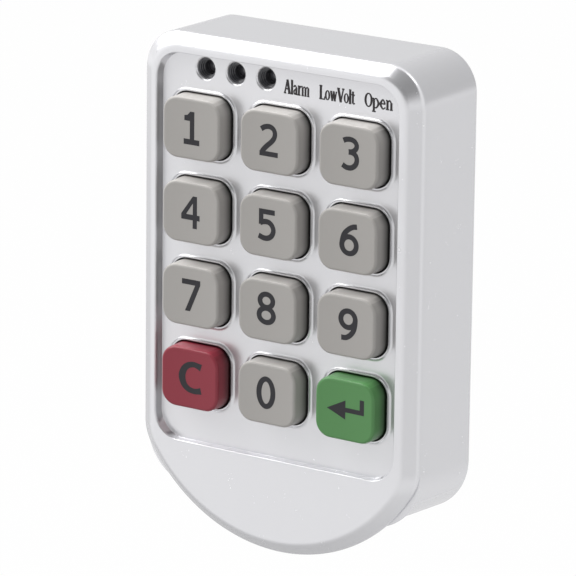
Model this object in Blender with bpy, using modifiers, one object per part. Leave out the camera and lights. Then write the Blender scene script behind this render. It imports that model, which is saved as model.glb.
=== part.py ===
"""Keypad cabinet lock: a die-cast housing with twelve push keys, three indicator
lamps, the board and battery behind them, and a motor-driven cam on a spindle.

Frame, in metres: X to the right and Z up as seen from the front, Y into the door.
The rear face, which seats on the door, lies on Y = 0 and the origin is on it.
Dimensions below are in millimetres.
"""
import math

import bmesh
import bpy
from mathutils import Matrix

MM = 0.001

# ---- overall sizes
WIDTH = 50.0
TOP_Z = 40.0           # top edge above the origin
CHIN_Z = -39.05        # lowest point of the finger pull
DEPTH = 16.3           # front border to door face
DOOR = 16.0            # door leaf the lock is made for
# ---- housing
TOP_R = 6.3            # upper corner radius
CHIN_OUT = 3.1         # the finger pull's arc is wider than half the lock by this
CHIN_BLEND = 7.0       # blend from the sides into that arc
BEVEL = 2.15           # width of the bevel round the front
BEVEL_D = 1.6          # its depth
LIP = 2.8              # thickness of the finger pull
LIP_ROUND = 0.35       # rounding of its rear edge
BODY_Z = -31.5         # underside of the deep body just behind the lip
BODY_DROP = 0.9        # how much lower that underside is at the door
BODY_R = 9.0           # lower corner radius of the deep body
DRAFT = 0.16           # taper of sides and top over the depth
WALL = 2.0             # side wall
FLOOR_WALL = 1.9       # bottom wall
REBATE = 1.05          # wall left round the back plate
# ---- keypad panel
BORDER_X, BORDER_TOP = 3.1, 3.02
REC_B = -24.2          # lower edge of the recess
REC_D = 1.3            # depth of the recess
REC_R = 4.2
REC_ROUND = 0.3        # fillet at the foot of its wall
PANEL = 1.4            # panel thickness
MARGIN_X, BAR_X = 2.12, 2.83                  # beside and between the key windows
LAMP_STRIP, MARGIN_B, BAR_Z = 5.83, 5.945, 2.735   # above, below and between them
WIN_R = 2.9
RIM_W, RIM_H, RIM_EDGE = 0.9, 0.3, 0.28       # raised rim round each window
# ---- keys
KEY_GAP = 0.45
KEY_PROUD = 3.4        # above the panel floor
KEY_ROUND = 0.8
FLANGE = 1.05          # flange behind the panel, each side
FLANGE_T = 0.7
TRAVEL = 1.0
# ---- mat, board and lamps
GAP = 0.3              # between a piece and the one it rests on
FIT = 0.05             # running clearance on a radius
MAT_T, DOME_H = 0.5, 0.3
DOME_R, DOME_FOOT = 2.6, 3.4
BOARD_T = 1.2
BOARD_B = -19.5        # lower edge of the board
LAMP_SHIFT, LAMP_PITCH, LAMP_TOP = 0.26, 5.49, 2.18
LAMP_HOLE, LAMP_R, LAMP_FLANGE = 1.6, 1.42, 1.7
LAMP_DEEP = 3.3        # lens tip behind the front border
SPACER_X, SPACER_Z = 2.7, 2.3
# ---- screws and what holds them
BOSS_R, BOSS_BORE, BOSS_IN = 2.8, 1.25, 2.6
BOSS_LOW = 5.0         # lower bosses above the cavity's floor
POST_R, POST_BORE, POST_IN = 1.75, 1.05, 2.05
BOARD_SCREW_R, BOARD_HEAD_R, BOARD_HEAD_T = 0.85, 1.6, 0.8
PLATE_SCREW_R, PLATE_HEAD_R, PLATE_SCREW_L = 1.1, 2.3, 8.0
PLATE_T = 1.35
PAD_X, PAD_R, PAD_BORE, PAD_L = 17.0, 3.4, 1.65, 7.8   # tapped pads for the door screws
PAD_BELOW = 18.2       # pads below the cells
# ---- drive
MODULE, TEETH = 0.7, 20
WORM_PITCH_R, WORM_HALF, JOURNAL_R, WORM_TURNS = 2.4, 4.2, 0.6, 3
MOTOR_R, MOTOR_FLAT = 5.0, 4.0         # its length fills the room from a boss to the wheel
MOTOR_SHAFT_R = 1.4
WORM_Z = -24.9
WORM_BEHIND = 6.2      # worm axis behind the panel
BEARING_X0, BEARING_X1, BEARING_R = 5.6, 7.2, 2.4
WHEEL_T, HUB_WALL = 2.8, 1.6
TRIP_OUT, TRIP_T, TRIP_SINK = 2.0, 1.6, 0.5
TRIP_HALF, TRIP_TIP_HALF = 2.5, 0.8
SWITCH_W, SWITCH_L = 4.4, 4.8
# ---- spindle, barrel and cam
SPINDLE_R = 3.0
BARREL_R, BARREL_FLANGE, BARREL_HEAD = 6.0, 2.0, 0.95   # flange beyond the barrel, its thickness
WASHER_OUT, WASHER_T = 2.6, 1.0
NUT_OUT, NUT_T = 3.1, 3.5
BARREL_PAST = 0.9      # barrel past its nut
SQUARE, SQUARE_L = 4.2, 3.0
CAM_L, CAM_T, CAM_HEAD_R, CAM_TIP_R = 24.0, 2.5, 7.0, 3.6
CAM_SCREW_R = 1.15
# ---- parts on the back of the board: centre, size and height
CHIP_X, CHIP_Z, CHIP_W, CHIP_T = 8.3, 1.9, 7.0, 1.0
DRIVER_W, DRIVER_H, DRIVER_T = 4.9, 3.9, 1.2
DRIVER_BESIDE, DRIVER_BELOW = 0.6, 0.3        # beside the switch, below the board screw's head
BUZZER_X, BUZZER_Z, BUZZER_R, BUZZER_T = 15.2, -9.4, 4.4, 3.9
CAPACITOR_X, CAPACITOR_Z, CAPACITOR_R, CAPACITOR_T = -9.0, -1.5, 2.4, 5.0
BRUSH_X, BRUSH_W = (-15.4, -10.2), 2.0        # the two springs that feed the motor
# ---- battery
CELL_R, CELL_T = 10.0, 3.2
CELL_GAP = 0.9         # half the space between the two cells
CELL_TOP = 4.8         # cells below the cavity's top
HOLDER_WALL, HOLDER_H, HOLDER_FLOOR = 1.0, 4.6, 0.8
HOLDER_UP = 1.7        # holder above the board
THUMB_W, WAY_W, WAY_H = 6.0, 4.4, 2.1         # notch to lift a cell, slot for its spring
PEG_R, LEAF_W, BRIDGE_W = 1.4, 3.6, 6.0
STRIP = 0.25           # thickness of the spring strips

# ---- places worked out from these
HALF_W = WIDTH / 2
CHIN_R = HALF_W + CHIN_OUT
FRONT = -DEPTH                                  # the front border
FLOOR = FRONT + REC_D                           # the panel's face
BACK = FLOOR + PANEL                            # the panel's rear side
KEY_FACE = FLOOR - KEY_PROUD
FLANGE_Y = BACK + GAP
DOME_Y = FLANGE_Y + FLANGE_T + TRAVEL + 0.1
MAT_Y = DOME_Y + DOME_H
BOARD_Y = MAT_Y + MAT_T + GAP
BOARD = BOARD_Y + BOARD_T                       # the board's rear side
PARTS = BOARD + GAP                             # where parts on the board begin
LEDGE = -PLATE_T - GAP                          # the step that the back plate sits on
CAV_X, CAV_T, CAV_B = HALF_W - WALL, TOP_Z - WALL, BODY_Z + FLOOR_WALL
REC_W, REC_T = HALF_W - BORDER_X, TOP_Z - BORDER_TOP
WIN_W = (2 * REC_W - 2 * MARGIN_X - 2 * BAR_X) / 3
WIN_H = (REC_T - REC_B - LAMP_STRIP - MARGIN_B - 3 * BAR_Z) / 4
PITCH_X, PITCH_Z = WIN_W + BAR_X, WIN_H + BAR_Z
KEY_W, KEY_H, KEY_R = WIN_W - 2 * KEY_GAP, WIN_H - 2 * KEY_GAP, WIN_R - KEY_GAP
COLS = [-PITCH_X, 0.0, PITCH_X]
ROWS = [REC_T - LAMP_STRIP - WIN_H / 2 - PITCH_Z * i for i in range(4)]
LAMP_Z = REC_T - LAMP_TOP
LAMPS = [COLS[0] + LAMP_SHIFT + LAMP_PITCH * i for i in range(3)]
BOSSES = [(sx * (CAV_X - BOSS_IN), z) for z in (CAV_T - BOSS_IN, CAV_B + BOSS_LOW) for sx in (1, -1)]
POSTS = [(sx * (CAV_X - POST_IN), (ROWS[i] + ROWS[i + 1]) / 2) for i in (0, 2) for sx in (1, -1)]
CORNERS = ("upper_right", "upper_left", "lower_right", "lower_left")
WORM_Y = BACK + WORM_BEHIND
WHEEL_R = MODULE * TEETH / 2
LEAD = math.pi * MODULE
SPINDLE_Z = WORM_Z + WORM_PITCH_R + WHEEL_R
WHEEL_Y0, WHEEL_Y1 = WORM_Y - WHEEL_T / 2, WORM_Y + WHEEL_T / 2
WHEEL_TIP = WHEEL_R + 0.8 * MODULE
OVER_MOTOR = SPINDLE_Z - WORM_Z - MOTOR_FLAT    # from the wheel's axis down to the motor's top
MOTOR_X1 = -math.sqrt(max(WHEEL_TIP ** 2 - OVER_MOTOR ** 2, 0.0)) - GAP
MOTOR_X0 = BOSS_IN + BOSS_R + GAP - CAV_X
TRIP_Y = WHEEL_Y1 + TRIP_T
TRIP_R = WHEEL_R + TRIP_OUT
SWITCH_NEAR, SWITCH_FAR = TRIP_R + GAP, TRIP_R + GAP + SWITCH_L
DRIVER_X = -SWITCH_FAR - DRIVER_BESIDE - DRIVER_W / 2
DRIVER_Z = POSTS[3][1] - BOARD_HEAD_R - DRIVER_BELOW - DRIVER_H / 2
BARREL_Y = LEDGE - BARREL_HEAD                  # front of the barrel's flange
NUT_Y = DOOR + WASHER_T + GAP
END_Y = NUT_Y + NUT_T + BARREL_PAST             # rear end of the barrel
CAM_Y = END_Y + GAP
TIP_Y = max(CAM_Y + CAM_T, END_Y + SQUARE_L) + 0.1
CELL_X, CELL_Z = CELL_R + CELL_GAP, CAV_T - CELL_TOP - CELL_R
HOLDER_Y = BOARD + HOLDER_UP
LEAF_Y = HOLDER_Y + HOLDER_FLOOR + GAP
CELL_Y = LEAF_Y + STRIP + GAP
PADS = [(PAD_X, CELL_Z - PAD_BELOW), (-PAD_X, CELL_Z - PAD_BELOW)]


# ------------------------------------------------------------------ outlines
def arc(cx, cz, r, a0, a1, n):
    """Points on an arc from angle a0 to a1, in degrees."""
    return [(cx + r * math.cos(math.radians(a0 + (a1 - a0) * i / n)),
             cz + r * math.sin(math.radians(a0 + (a1 - a0) * i / n)))
            for i in range(n + 1)]


def front_outline(inset=0.0, lip=0.0, n_corner=6, n_blend=3, n_arc=16):
    """Rounded top corners, straight sides and the wide arc of the finger pull,
    which lip draws in further than the rest."""
    hx, top = HALF_W - inset, TOP_Z - inset
    corner = max(TOP_R - inset * 0.85, 0.6)
    big = CHIN_R - inset * 0.87 - lip
    cz = CHIN_Z + CHIN_R
    blend = CHIN_BLEND - inset * 0.5
    bz = cz - math.sqrt((big - blend) ** 2 - (hx - blend) ** 2)
    turn = math.degrees(math.atan2(bz - cz, hx - blend))
    pts = arc(hx - corner, top - corner, corner, 90, 0, n_corner)
    pts += arc(hx - blend, bz, blend, 0, turn, n_blend)
    pts += arc(0, cz, big, turn, -180 - turn, n_arc)[1:-1]
    pts += arc(blend - hx, bz, blend, -180 - turn, -180, n_blend)
    pts += arc(corner - hx, top - corner, corner, 180, 90, n_corner)
    return pts


def body_outline(bottom, draft=0.0, inset=0.0, n_corner=6, n_blend=3, n_arc=16):
    """Rounded rectangle of the deep body, point for point with front_outline."""
    hx, top, low = HALF_W - draft - inset, TOP_Z - draft - inset, bottom + inset
    corner, foot = TOP_R - inset, BODY_R - inset
    steps = n_blend + 3
    flat = n_arc - 1 - 2 * 3
    span = 2 * (hx - foot)
    pts = arc(hx - corner, top - corner, corner, 90, 0, n_corner)
    pts += arc(hx - foot, low + foot, foot, 0, -90, steps)
    pts += [(hx - foot - span * (i + 1) / (flat + 1), low) for i in range(flat)]
    pts += arc(foot - hx, low + foot, foot, -90, -180, steps)
    pts += arc(corner - hx, top - corner, corner, 180, 90, n_corner)
    return pts


def rounded(w, h, r, cx=0.0, cz=0.0, n=3):
    """Rounded rectangle of full size w by h."""
    a, b = w / 2 - r, h / 2 - r
    pts = []
    for sx, sz, a0 in ((1, 1, 90), (1, -1, 0), (-1, -1, -90), (-1, 1, -180)):
        pts += arc(cx + sx * a, cz + sz * b, r, a0, a0 - 90, n)
    return pts


def cavity_outline():
    """The space inside: small corners above, large ones below."""
    top, foot = TOP_R - WALL + 0.1, BODY_R - FLOOR_WALL + 0.1
    return (arc(CAV_X - top, CAV_T - top, top, 90, 0, 4)
            + arc(CAV_X - foot, CAV_B + foot, foot, 0, -90, 4)
            + arc(foot - CAV_X, CAV_B + foot, foot, -90, -180, 4)
            + arc(top - CAV_X, CAV_T - top, top, 180, 90, 4))


# ------------------------------------------------------------------ mesh helpers
def material(name, rgb, rough, metal=0.0):
    mat = bpy.data.materials.new(name)
    mat.use_nodes = True
    bsdf = mat.node_tree.nodes["Principled BSDF"]
    bsdf.inputs["Base Color"].default_value = (*rgb, 1.0)
    bsdf.inputs["Roughness"].default_value = rough
    bsdf.inputs["Metallic"].default_value = metal
    mat.diffuse_color = (*rgb, 1.0)
    return mat


def settle(me):
    """Welds a mesh, makes its flat areas single faces and turns its faces outward."""
    bm = bmesh.new()
    bm.from_mesh(me)
    bmesh.ops.remove_doubles(bm, verts=bm.verts, dist=2e-6)
    bmesh.ops.dissolve_limit(bm, angle_limit=math.radians(0.5), verts=bm.verts, edges=bm.edges)
    bmesh.ops.recalc_face_normals(bm, faces=bm.faces)
    bm.to_mesh(me)
    bm.free()
    me.shade_smooth()
    me.set_sharp_from_angle(angle=math.radians(32))


def stretch(me, y0, y1):
    """Turns a mesh extruded both ways along Z to lie along Y, from y0 to y1."""
    me.transform(Matrix(((1, 0, 0, 0), (0, 0, -1, 0), (0, 1, 0, 0), (0, 0, 0, 1))))
    for v in me.vertices:
        v.co.y = (y0 if v.co.y < 0 else y1) * MM


def new_object(name, me, mat=None):
    """An object for the model, or for the cutters where it has no material."""
    ob = bpy.data.objects.new(name, me)
    (PIECES if mat else CUTTERS).objects.link(ob)
    if mat:
        me.materials.append(mat)
    return ob


def applied(ob):
    """Replaces an object's mesh, or the curve it is, by its evaluated mesh."""
    graph = bpy.context.evaluated_depsgraph_get()
    me = bpy.data.meshes.new_from_object(ob.evaluated_get(graph))
    if ob.type == "CURVE":
        name, home = ob.name, ob.users_collection[0]
        bpy.data.objects.remove(ob, do_unlink=True)
        ob = bpy.data.objects.new(name, me)
        home.objects.link(ob)
    else:
        ob.modifiers.clear()
        ob.data = me
    settle(me)
    return ob


def slab(name, outline, y0, y1, mat=None):
    """A flat outline of (x, z) points, thick from y0 to y1."""
    curve = bpy.data.curves.new(name, "CURVE")
    curve.dimensions = "2D"
    curve.fill_mode = "BOTH"
    curve.extrude = MM
    line = curve.splines.new("POLY")
    line.points.add(len(outline) - 1)
    for point, (x, z) in zip(line.points, outline):
        point.co = (x * MM, z * MM, 0, 1)
    line.use_cyclic_u = True
    ob = bpy.data.objects.new(name, curve)
    (PIECES if mat else CUTTERS).objects.link(ob)
    ob = applied(ob)
    stretch(ob.data, y0, y1)
    if mat:
        ob.data.materials.append(mat)
    return ob


def turned(name, profile, x=0.0, z=0.0, mat=None, n=24, ring=False):
    """A body turned about the line through (x, z) along Y: profile holds (y, radius)
    pairs, closed on itself for a ring and run to the axis for a solid."""
    if not ring:
        profile = [(profile[0][0], 0.0)] + profile + [(profile[-1][0], 0.0)]
    bm = bmesh.new()
    dots = [bm.verts.new((r * MM, y * MM, 0)) for y, r in profile]
    for a, b in zip(dots, dots[1:]):
        bm.edges.new((a, b))
    if ring:
        bm.edges.new((dots[-1], dots[0]))
    me = bpy.data.meshes.new(name)
    bm.to_mesh(me)
    bm.free()
    ob = new_object(name, me, mat)
    mod = ob.modifiers.new("turn", "SCREW")
    mod.axis = "Y"
    mod.steps = mod.render_steps = n
    mod.use_merge_vertices = True
    mod.merge_threshold = 1e-6
    ob = applied(ob)
    ob.data.transform(Matrix.Translation((x * MM, 0, z * MM)))
    return ob


def rod(name, y0, y1, r, x=0.0, z=0.0, mat=None, n=16, r1=None):
    """A cylinder along Y, or a cone where it ends in another radius r1."""
    bm = bmesh.new()
    bmesh.ops.create_cone(bm, cap_ends=True, segments=n, radius1=(r if r1 is None else r1) * MM,
                          radius2=r * MM, depth=MM, matrix=Matrix.Translation((x * MM, z * MM, 0)))
    me = bpy.data.meshes.new(name)
    bm.to_mesh(me)
    bm.free()
    stretch(me, y0, y1)
    settle(me)
    return new_object(name, me, mat)


def box(name, x0, x1, y0, y1, z0, z1, mat=None, bevel=0.0):
    bm = bmesh.new()
    bmesh.ops.create_cube(bm, size=1.0)
    for v in bm.verts:
        v.co = [(low if c < 0 else high) * MM for c, low, high in zip(v.co, (x0, y0, z0), (x1, y1, z1))]
    if bevel:
        bmesh.ops.bevel(bm, geom=bm.edges[:], offset=bevel * MM, segments=1, affect="EDGES")
    me = bpy.data.meshes.new(name)
    bm.to_mesh(me)
    bm.free()
    return new_object(name, me, mat)


def loft(name, loops, mat=None):
    """A closed solid through unlike sections: each is a depth Y and (x, z) points."""
    bm = bmesh.new()
    rings = [[bm.verts.new((x * MM, y * MM, z * MM)) for x, z in pts] for y, pts in loops]
    for a, b in zip(rings, rings[1:]):
        for i in range(len(a)):
            j = (i + 1) % len(a)
            bm.faces.new((a[i], a[j], b[j], b[i]))
    bm.faces.new(rings[0])
    bm.faces.new(rings[-1][::-1])
    me = bpy.data.meshes.new(name)
    bm.to_mesh(me)
    bm.free()
    settle(me)
    return new_object(name, me, mat)


def round_rim(ob, y, width, segments):
    """Rounds the edges of a body that lie in the plane Y = y."""
    bm = bmesh.new()
    bm.from_mesh(ob.data)
    rim = [e for e in bm.edges if all(abs(v.co.y - y * MM) < 1e-7 for v in e.verts)]
    bmesh.ops.bevel(bm, geom=rim, offset=width * MM, segments=segments, profile=0.5, affect="EDGES")
    bm.to_mesh(ob.data)
    bm.free()
    ob.data.set_sharp_from_angle(angle=math.radians(32))
    return ob


def along_x(ob, y, z):
    """Lays a body built about Y at the origin along X, through (y, z)."""
    turn = Matrix(((0, 1, 0, 0), (-1, 0, 0, 0), (0, 0, 1, 0), (0, 0, 0, 1)))
    ob.data.transform(Matrix.Translation((0, y * MM, z * MM)) @ turn)
    return ob


def boolean(ob, tools, mode):
    """Cuts or joins a body with several closed tools at once."""
    bm = bmesh.new()
    for tool in tools:
        bm.from_mesh(tool.data)
        bpy.data.objects.remove(tool, do_unlink=True)
    me = bpy.data.meshes.new("tool")
    bm.to_mesh(me)
    bm.free()
    joined = new_object("tool", me)
    mod = ob.modifiers.new(mode, "BOOLEAN")
    mod.operation = mode
    mod.solver = "EXACT"
    mod.use_self = True
    mod.object = joined
    ob = applied(ob)
    bpy.data.objects.remove(joined, do_unlink=True)
    return ob


def cut(ob, *tools):
    return boolean(ob, tools, "DIFFERENCE")


def add(ob, *tools):
    return boolean(ob, tools, "UNION")


def copies(pattern, places, mats=None):
    """One object for each name and (x, z), all sharing the pattern's mesh."""
    for name, (x, z) in places.items():
        ob = bpy.data.objects.new(name, pattern.data)
        ob.location = (x * MM, 0, z * MM)
        PIECES.objects.link(ob)
        if mats:
            ob.material_slots[0].link = "OBJECT"
            ob.material_slots[0].material = mats[name]
    bpy.data.objects.remove(pattern, do_unlink=True)


# ------------------------------------------------------------------ housing
def housing():
    shell = loft("front_housing", [
        (FRONT, front_outline(BEVEL)),
        (FRONT + BEVEL_D * 0.82, front_outline(BEVEL * 0.17)),
        (FRONT + BEVEL_D + 0.05, front_outline(BEVEL * 0.04)),
        (FRONT + BEVEL_D + LIP_ROUND, front_outline()),
        (FRONT + LIP - LIP_ROUND, front_outline()),
        (FRONT + LIP, front_outline(0.0, LIP_ROUND)),
        (FRONT + LIP + 0.2, body_outline(BODY_Z - 0.5)),
        (FRONT + LIP + 0.8, body_outline(BODY_Z)),
        (0.0, body_outline(BODY_Z - BODY_DROP, DRAFT)),
    ], ZINC)
    recess = slab("recess", rounded(2 * REC_W, REC_T - REC_B, REC_R, 0, (REC_T + REC_B) / 2, 5),
                  FRONT - 1, FLOOR)
    cut(shell, round_rim(recess, FLOOR, REC_ROUND, 2))
    cut(shell, slab("cavity", cavity_outline(), BACK, 1.0))

    rim_w, rim_h, rim_r = WIN_W + 2 * RIM_W, WIN_H + 2 * RIM_W, WIN_R + RIM_W
    rims = [round_rim(slab("rim", rounded(rim_w, rim_h, rim_r, x, z), FLOOR - RIM_H, FLOOR + 0.5),
                      FLOOR - RIM_H, RIM_EDGE, 1) for x in COLS for z in ROWS]
    add(shell, *rims)
    cut(shell, *[slab("window", rounded(WIN_W, WIN_H, WIN_R, x, z), FLOOR - 1, BACK + 1)
                 for x in COLS for z in ROWS])
    cut(shell, *[turned("lamp_hole", [(FLOOR - 1, LAMP_HOLE + 0.2), (FLOOR, LAMP_HOLE + 0.2),
                                      (FLOOR + 0.2, LAMP_HOLE), (BACK + 1, LAMP_HOLE)], x, LAMP_Z, n=20)
                 for x in LAMPS])

    root = BACK - 0.6
    add(shell, *[rod("boss", root, LEDGE, BOSS_R, x, z) for x, z in BOSSES],
        *[rod("post", root, BOARD_Y - GAP, POST_R, x, z, n=12) for x, z in POSTS],
        *[box("rib", x - 0.6, x + 0.6, root, WORM_Y - MOTOR_R - GAP, WORM_Z - MOTOR_FLAT, WORM_Z + MOTOR_FLAT)
          for x in (MOTOR_X0 + 2.3, MOTOR_X1 - 2.0)],
        box("bearing", BEARING_X0, BEARING_X1, root, WORM_Y + 2.0, WORM_Z - BEARING_R, WORM_Z + BEARING_R))
    slot, low = JOURNAL_R + FIT + 0.03, WORM_Y + 3.0
    cut(shell, *[rod("bore", BACK + 4.0, 2.0, BOSS_BORE, x, z, n=12) for x, z in BOSSES],
        *[rod("bore", BACK - 0.4, BOARD, POST_BORE, x, z, n=10) for x, z in POSTS],
        box("slot", BEARING_X0 - 1, BEARING_X1 + 1, WORM_Y - slot, low, WORM_Z - slot, WORM_Z + slot))
    cut(shell, slab("rebate", body_outline(BODY_Z - BODY_DROP, inset=REBATE), LEDGE, 1.0))


# ------------------------------------------------------------------ keys
def keys():
    """Twelve alike: a rounded stem through the window and a flange behind the panel."""
    stem = slab("stem", rounded(KEY_W, KEY_H, KEY_R), KEY_FACE, FLANGE_Y + 0.2, KEY_GREY)
    round_rim(stem, KEY_FACE, KEY_ROUND, 3)
    add(stem, slab("flange", rounded(KEY_W + 2 * FLANGE, KEY_H + 2 * FLANGE, KEY_R + FLANGE / 2),
                   FLANGE_Y, FLANGE_Y + FLANGE_T))
    tags = (("1", "2", "3"), ("4", "5", "6"), ("7", "8", "9"), ("clear", "0", "enter"))
    places = {"key_" + tag: (x, z) for row, z in zip(tags, ROWS) for tag, x in zip(row, COLS)}
    mats = dict.fromkeys(places, KEY_GREY) | {"key_clear": KEY_RED, "key_enter": KEY_GREEN}
    copies(stem, places, mats)


# ------------------------------------------------------------------ mat, board and lamps
def mat_and_board():
    half = CAV_X - GAP
    top, low = LAMP_Z - SPACER_Z - GAP, BOARD_B + 0.1
    mat = slab("silicone_mat", rounded(2 * half - 0.6, top - low, 1.2, 0, (top + low) / 2, 2),
               MAT_Y, MAT_Y + MAT_T, SILICONE)
    add(mat, *[rod("dome", DOME_Y, MAT_Y + 0.1, DOME_R, x, z, n=10, r1=DOME_FOOT)
               for x in COLS for z in ROWS])
    cut(mat, *[rod("well", MAT_Y + 0.1, MAT_Y + 1, DOME_R - 0.7, x, z, n=8) for x in COLS for z in ROWS],
        *[rod("notch", DOME_Y - 1, BOARD_Y, POST_R + GAP, x, z, n=12) for x, z in POSTS])

    top = CAV_T - 0.5
    board = slab("circuit_board", rounded(2 * half, top - BOARD_B, 1.0, 0, (top + BOARD_B) / 2, 2),
                 BOARD_Y, BOARD, LAMINATE)
    cut(board, *[rod("notch", BOARD_Y - 1, BOARD + 1, BOSS_R + GAP, x, z) for x, z in BOSSES[:2]],
        *[rod("hole", BOARD_Y - 1, BOARD + 1, BOARD_SCREW_R + 0.25, x, z, n=10) for x, z in POSTS])


def lamps():
    tip = FRONT + LAMP_DEEP
    base = BOARD_Y - GAP
    dome = [(tip + LAMP_R * (1 - math.cos(a)), LAMP_R * math.sin(a)) for a in (0.3, 0.65, 1.05, math.pi / 2)]
    lamp = turned("lamp", dome + [(base - 0.7, LAMP_R), (base - 0.7, LAMP_FLANGE), (base, LAMP_FLANGE)],
                  mat=LENS, n=16)
    copies(lamp, {"led_" + tag: (x, LAMP_Z) for tag, x in zip(("alarm", "low_volt", "open"), LAMPS)})
    spacer = box("led_spacer", LAMPS[0] - SPACER_X, LAMPS[2] + SPACER_X, BACK + GAP, BOARD_Y - GAP,
                 LAMP_Z - SPACER_Z, LAMP_Z + SPACER_Z, BLACK)
    step = base - 0.7 - GAP
    cut(spacer, *[turned("bore", [(BACK - 1, LAMP_R + 0.1), (step, LAMP_R + 0.1), (step, LAMP_FLANGE + 0.15),
                                  (BOARD_Y + 1, LAMP_FLANGE + 0.15)], x, LAMP_Z, n=16) for x in LAMPS])


def board_parts():
    """What stands on the back of the board, apart from the battery and the switches."""
    for name, x, z, w, h, t in (("microcontroller", CHIP_X, CHIP_Z, CHIP_W, CHIP_W, CHIP_T),
                                ("motor_driver", DRIVER_X, DRIVER_Z, DRIVER_W, DRIVER_H, DRIVER_T)):
        box(name, x - w / 2, x + w / 2, PARTS, PARTS + t, z - h / 2, z + h / 2, BLACK, bevel=0.12)
    for name, x, z, r, t, mat in (("buzzer", BUZZER_X, BUZZER_Z, BUZZER_R, BUZZER_T, BLACK),
                                  ("capacitor", CAPACITOR_X, CAPACITOR_Z, CAPACITOR_R, CAPACITOR_T, ALU)):
        turned(name, [(PARTS, r), (PARTS + t - 0.3, r), (PARTS + t, r - 0.3)], x, z, mat, n=20)
    near, far = WORM_Z + MOTOR_FLAT + GAP, BOARD_B + 1.4
    leaf = [(-PARTS, far), (-PARTS, near), (-WORM_Y - 3.5, near), (-WORM_Y - 3.5, near + STRIP),
            (-PARTS - STRIP, near + STRIP), (-PARTS - STRIP, far)]
    for x, tag in zip(BRUSH_X, ("positive", "negative")):
        along_x(slab("motor_contact_" + tag, leaf, x - BRUSH_W / 2, x + BRUSH_W / 2, SPRING), 0, 0)


# ------------------------------------------------------------------ battery
def battery():
    top, r = HOLDER_Y + HOLDER_H, CELL_R + HOLDER_WALL
    holder = rod("battery_holder", HOLDER_Y, top, r, -CELL_X, CELL_Z, BLACK, n=32)
    add(holder, rod("half", HOLDER_Y, top, r, CELL_X, CELL_Z, n=32),
        box("bar", -CELL_R / 2, CELL_R / 2, HOLDER_Y, top, CELL_Z - CELL_R - 0.6, CELL_Z + CELL_R + 0.6),
        *[rod("peg", PARTS, HOLDER_Y + 0.4, PEG_R, 0, CELL_Z + s * (CELL_R - 1.2), n=12) for s in (1, -1)])
    pocket, foot = HOLDER_Y + HOLDER_FLOOR, CELL_Z - CELL_R + 2.8
    thumb, way = THUMB_W / 2, WAY_W / 2
    tools = []
    for x in (CELL_X, -CELL_X):
        tools += [rod("pocket", pocket, top + 1, CELL_R + GAP, x, CELL_Z, n=32),
                  box("thumb", x - thumb, x + thumb, pocket + 1.2, top + 1, CELL_Z, CELL_Z + r + 3),
                  box("way", x - way, x + way, HOLDER_Y - 1, pocket + 1, foot - 0.4, foot - 0.4 + WAY_H)]
    cut(holder, *tools)

    can = [(CELL_Y, CELL_R - 1.0), (CELL_Y + 0.05, CELL_R - 0.3), (CELL_Y + 0.4, CELL_R),
           (CELL_Y + CELL_T - 0.1, CELL_R), (CELL_Y + CELL_T, CELL_R - 0.2)]
    for x, tag in ((-CELL_X, "left"), (CELL_X, "right")):
        turned("coin_cell_" + tag, can, x, CELL_Z, CELL, n=32)
        x0, x1, far = x - LEAF_W / 2, x + LEAF_W / 2, CELL_Z + CELL_R / 2
        leaf = box("battery_contact_" + tag, x0, x1, LEAF_Y, LEAF_Y + STRIP, foot, far, SPRING)
        add(leaf, box("leg", x0, x1, PARTS, LEAF_Y + STRIP / 2, foot, foot + STRIP))
    bridge, reach, half = CELL_Y + CELL_T + GAP, CELL_X + CELL_R / 2, BRIDGE_W / 2
    box("battery_bridge", -reach, reach, bridge, bridge + STRIP, CELL_Z - half, CELL_Z + half, SPRING)


# ------------------------------------------------------------------ motor, worm and wheel
def motor():
    side = math.degrees(math.asin(MOTOR_FLAT / MOTOR_R))
    can = arc(0, 0, MOTOR_R, side, -side, 6) + arc(0, 0, MOTOR_R, side - 180, -180 - side, 6)
    body = slab("motor", can, MOTOR_X0, MOTOR_X1, ALU)
    add(body, rod("shaft", MOTOR_X1 - 1, -WORM_HALF - 0.8, MOTOR_SHAFT_R))
    along_x(body, WORM_Y, WORM_Z)
    box("motor_pad", MOTOR_X0 + 1.8, MOTOR_X1 - 1.9, WORM_Y + MOTOR_R + GAP, LEDGE, WORM_Z - 3.0,
        WORM_Z + 3.0, RUBBER)


def worm():
    """A shaft with one thread of trapezoid section, made by a screw sweep."""
    root, tip = WORM_PITCH_R - MODULE, WORM_PITCH_R + 0.7 * MODULE
    half = LEAD * WORM_TURNS / 2
    foot, crest = 0.74 * MODULE, 0.31 * MODULE
    bm = bmesh.new()
    dots = [bm.verts.new((0, (dx - half) * MM, r * MM))
            for dx, r in ((-foot, root - 0.25), (-crest, tip), (crest, tip), (foot, root - 0.25))]
    for a, b in zip(dots, dots[1:] + dots[:1]):
        bm.edges.new((a, b))
    me = bpy.data.meshes.new("thread")
    bm.to_mesh(me)
    bm.free()
    thread = new_object("thread", me)
    mod = thread.modifiers.new("sweep", "SCREW")
    mod.axis = "Y"
    mod.steps = mod.render_steps = 16
    mod.iterations = WORM_TURNS
    mod.screw_offset = LEAD * MM
    applied(thread)
    bm = bmesh.new()
    bm.from_mesh(thread.data)
    bmesh.ops.holes_fill(bm, edges=[e for e in bm.edges if e.is_boundary])
    bmesh.ops.recalc_face_normals(bm, faces=bm.faces)
    bm.to_mesh(thread.data)
    bm.free()
    shaft = turned("worm", [(-WORM_HALF - 0.5, 0.5), (-WORM_HALF, 0.5), (-WORM_HALF, root), (WORM_HALF, root),
                            (WORM_HALF, JOURNAL_R), (BEARING_X1 - 0.2, JOURNAL_R)], mat=BRASS, n=16)
    along_x(add(shaft, thread), WORM_Y, WORM_Z)


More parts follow.
